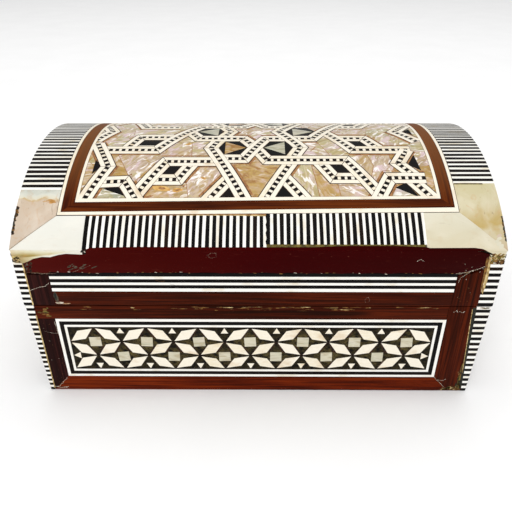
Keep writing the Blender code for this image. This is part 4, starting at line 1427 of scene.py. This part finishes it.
def cushion(name, place, half_u, half_v, thickness, crown, body, node, outline=None):
    """A thin padded panel: flat on its board, crowned, and drawn down to its edges.
    outline(u) can narrow the panel by giving its height at u."""
    bm = bmesh.new()
    cell = 1.6
    columns, rows = max(8, round(half_u / cell)), max(6, round(half_v / cell))
    top, bottom = [], []
    for j in range(rows + 1):
        b = math.sin(math.pi / 2 * (2 * j / rows - 1))
        for i in range(columns + 1):
            a = math.sin(math.pi / 2 * (2 * i / columns - 1))
            u, v = a * half_u, b * half_v
            if outline:
                v = -half_v + (v + half_v) * outline(u)
            edge = (1 - abs(a) ** 10) * (1 - abs(b) ** 10)
            ripple = 0.16 * math.sin(u * 0.21 + 1.3 * math.sin(v * 0.17)) * math.sin(v * 0.19 + 0.8)
            height = thickness * (0.35 + 0.65 * math.sqrt(max(0.0, edge)))
            height += (crown * (1 - a * a) * (1 - b * b) + ripple) * edge
            top.append(bm.verts.new(place(u, v, height) * MM))
            bottom.append(bm.verts.new(place(u, v, 0.0) * MM))
    wide = columns + 1
    for j in range(rows):
        for i in range(columns):
            k = j * wide + i
            bm.faces.new((top[k], top[k + 1], top[k + wide + 1], top[k + wide]))
            bm.faces.new((bottom[k], bottom[k + wide], bottom[k + wide + 1], bottom[k + 1]))
    border = [i for i in range(wide)] + [j * wide + columns for j in range(1, rows + 1)]
    border += [rows * wide + i for i in range(columns - 1, -1, -1)]
    border += [j * wide for j in range(rows - 1, 0, -1)]
    for k, j in zip(border, border[1:] + border[:1]):
        bm.faces.new((bottom[k], bottom[j], top[j], top[k]))
    bmesh.ops.recalc_face_normals(bm, faces=bm.faces[:])
    made = finish_object(name, bm, ["velvet"], body, [node], "velvet")


LININGS = {"box": "body_velvet_lining", "lid": "lid_velvet_lining"}


def velvet_lining():
    """Body: a crowned pad on the floor and a padded panel on each wall. Lid: a vault with its two ends."""
    half_x, half_y, floor, corner_gap = 70.7, 45.87, 4.3, 0.35
    wall_low, wall_high = floor + 1.0, BODY_TOP - 0.4
    rise = (wall_high - wall_low) / 2
    middle = wall_low + rise
    radius = 69.2             # just under the lid's curved board
    spring = math.asin(half_y / radius)
    arc = radius * spring
    low = LID_BOTTOM + 0.3
    corner = CREST_AXIS + radius * math.cos(spring)
    crest = CREST_AXIS + radius - 0.3
    tall = (crest - low) / 2

    def on_floor(u, v, w):
        return Vector((u, v, floor + w))

    def long_wall(side):
        return lambda u, v, w: Vector((u, side * (half_y - w), middle + v))

    def end_wall(side, height):
        return lambda u, v, w: Vector((side * (half_x - w), u, height + v))

    def vault(u, v, w):
        """v runs over the whole section: up the front, along the vault and down the back."""
        upright = corner - low
        beyond = abs(v) - arc
        if beyond > 0:
            return Vector((u, math.copysign(half_y - w, v), corner - min(beyond, upright)))
        angle = v / radius
        shrink = min(1.0, (half_y - w) / half_y)
        return Vector((u, (radius * math.sin(angle)) * shrink, CREST_AXIS + (radius - w) * math.cos(angle)))

    def arch_share(u):
        return (CREST_AXIS + math.sqrt((radius - 0.3) ** 2 - u * u) - low) / (crest - low)

    def panel(name, place, half_u, half_v, body="box", outline=None):
        cushion(name, place, half_u, half_v, thickness=1.0, crown=0.25, body=body, node=LININGS[body],
                outline=outline)

    cushion("velvet_floor_pad", on_floor, half_x - 0.05, half_y - 0.05, thickness=1.5, crown=1.6, body="box",
            node=LININGS["box"])
    for side, word in ((-1, "front"), (1, "back")):
        panel(f"velvet_{word}_panel", long_wall(side), half_x - corner_gap, rise)
    for side, word in SIDES:
        panel(f"velvet_{word}_panel", end_wall(side, middle), half_y - corner_gap, rise)
    panel("velvet_lid_vault", vault, half_x - corner_gap, arc + corner - low, "lid")
    for side, word in SIDES:
        panel(f"velvet_lid_{word}_end", end_wall(side, low + tall), half_y - 0.4, tall, "lid", arch_share)


# ---- carried-over CAD parts -----------------------------------------------

def repaint():
    board = wood("carcass_wood", "5e3c1e", "7c5430", "936a40", tiled=False, rough=0.6)
    back = wood("back_mahogany", *MAHOGANY, tiled=False)
    metal = brass()
    for name, node in nodes.items():
        finish = board
        if name in ("back_board", "lid_back_board"):
            finish = back
        elif name.startswith("hinge"):
            finish = metal
        for index in range(len(node.material_slots)):
            node.material_slots[index].material = finish


# ---- stage ----------------------------------------------------------------

def white_world(strength):
    world = bpy.data.worlds.new("studio")
    world.use_nodes = True
    background = world.node_tree.nodes["Background"]
    background.inputs["Color"].default_value = (1.0, 1.0, 1.0, 1.0)
    background.inputs["Strength"].default_value = strength
    return world


def white_floor():
    bm = bmesh.new()
    bmesh.ops.create_circle(bm, cap_ends=True, segments=64, radius=6.0)
    mesh = bpy.data.meshes.new("floor")
    bm.to_mesh(mesh)
    bm.free()
    floor = bpy.data.objects.new("floor", mesh)
    floor.location.z = -0.0002
    bpy.context.scene.collection.objects.link(floor)
    cover = Paint("studio_floor", roughness=0.9, specular=0.1, tiled=False)
    speck = cover.noise((0.02, 0.02, 0.02), detail=3)
    cover.set(Base_Color=cover.ramp(speck, (0.3, "fcfcfc"), (0.7, "ffffff")))
    mesh.materials.append(cover.made)


def soft_light(name, place, size, power):
    """A square light aimed at the middle of the box."""
    light = bpy.data.lights.new(name, "AREA")
    light.size = size
    light.energy = power
    lamp = bpy.data.objects.new(name, light)
    lamp.location = place
    lamp.rotation_euler = (Vector((0, 0, 0.04)) - Vector(place)).to_track_quat("-Z", "Y").to_euler()
    bpy.context.scene.collection.objects.link(lamp)


def studio():
    scene = bpy.context.scene
    scene.view_settings.view_transform = "Standard"
    scene.world = white_world(0.68)
    white_floor()
    soft_light("key", (-0.45, -1.25, 0.75), 0.8, 8.5)
    soft_light("top", (0.1, 0.2, 1.4), 1.2, 7.0)


def camera():
    """Above and in front, looking down at the long side."""
    pan, pitch, roll = 0.45, 30.88, -0.12     # degrees
    data = bpy.data.cameras.new("camera")
    data.sensor_width = 36.0
    data.lens = 38.17
    data.clip_start, data.clip_end = 0.01, 20.0
    made = bpy.data.objects.new("camera", data)
    turn = Matrix.Rotation(math.radians(pan), 4, "Z") @ Matrix.Rotation(math.radians(90 - pitch), 4, "X")
    turn = turn @ Matrix.Rotation(math.radians(roll), 4, "Z")
    made.matrix_world = Matrix.Translation(Vector((0.65, -201.81, 147.73)) * MM) @ turn
    bpy.context.scene.collection.objects.link(made)
    bpy.context.scene.camera = made


camera()
studio()
repaint()
top_mosaic()
top_frame()
shoulder_sheets()
end_sheets()
shell_blocks()
body_front()
lid_front()
ends()
corner_sticks()
lid_wear()
body_wear()
velvet_lining()
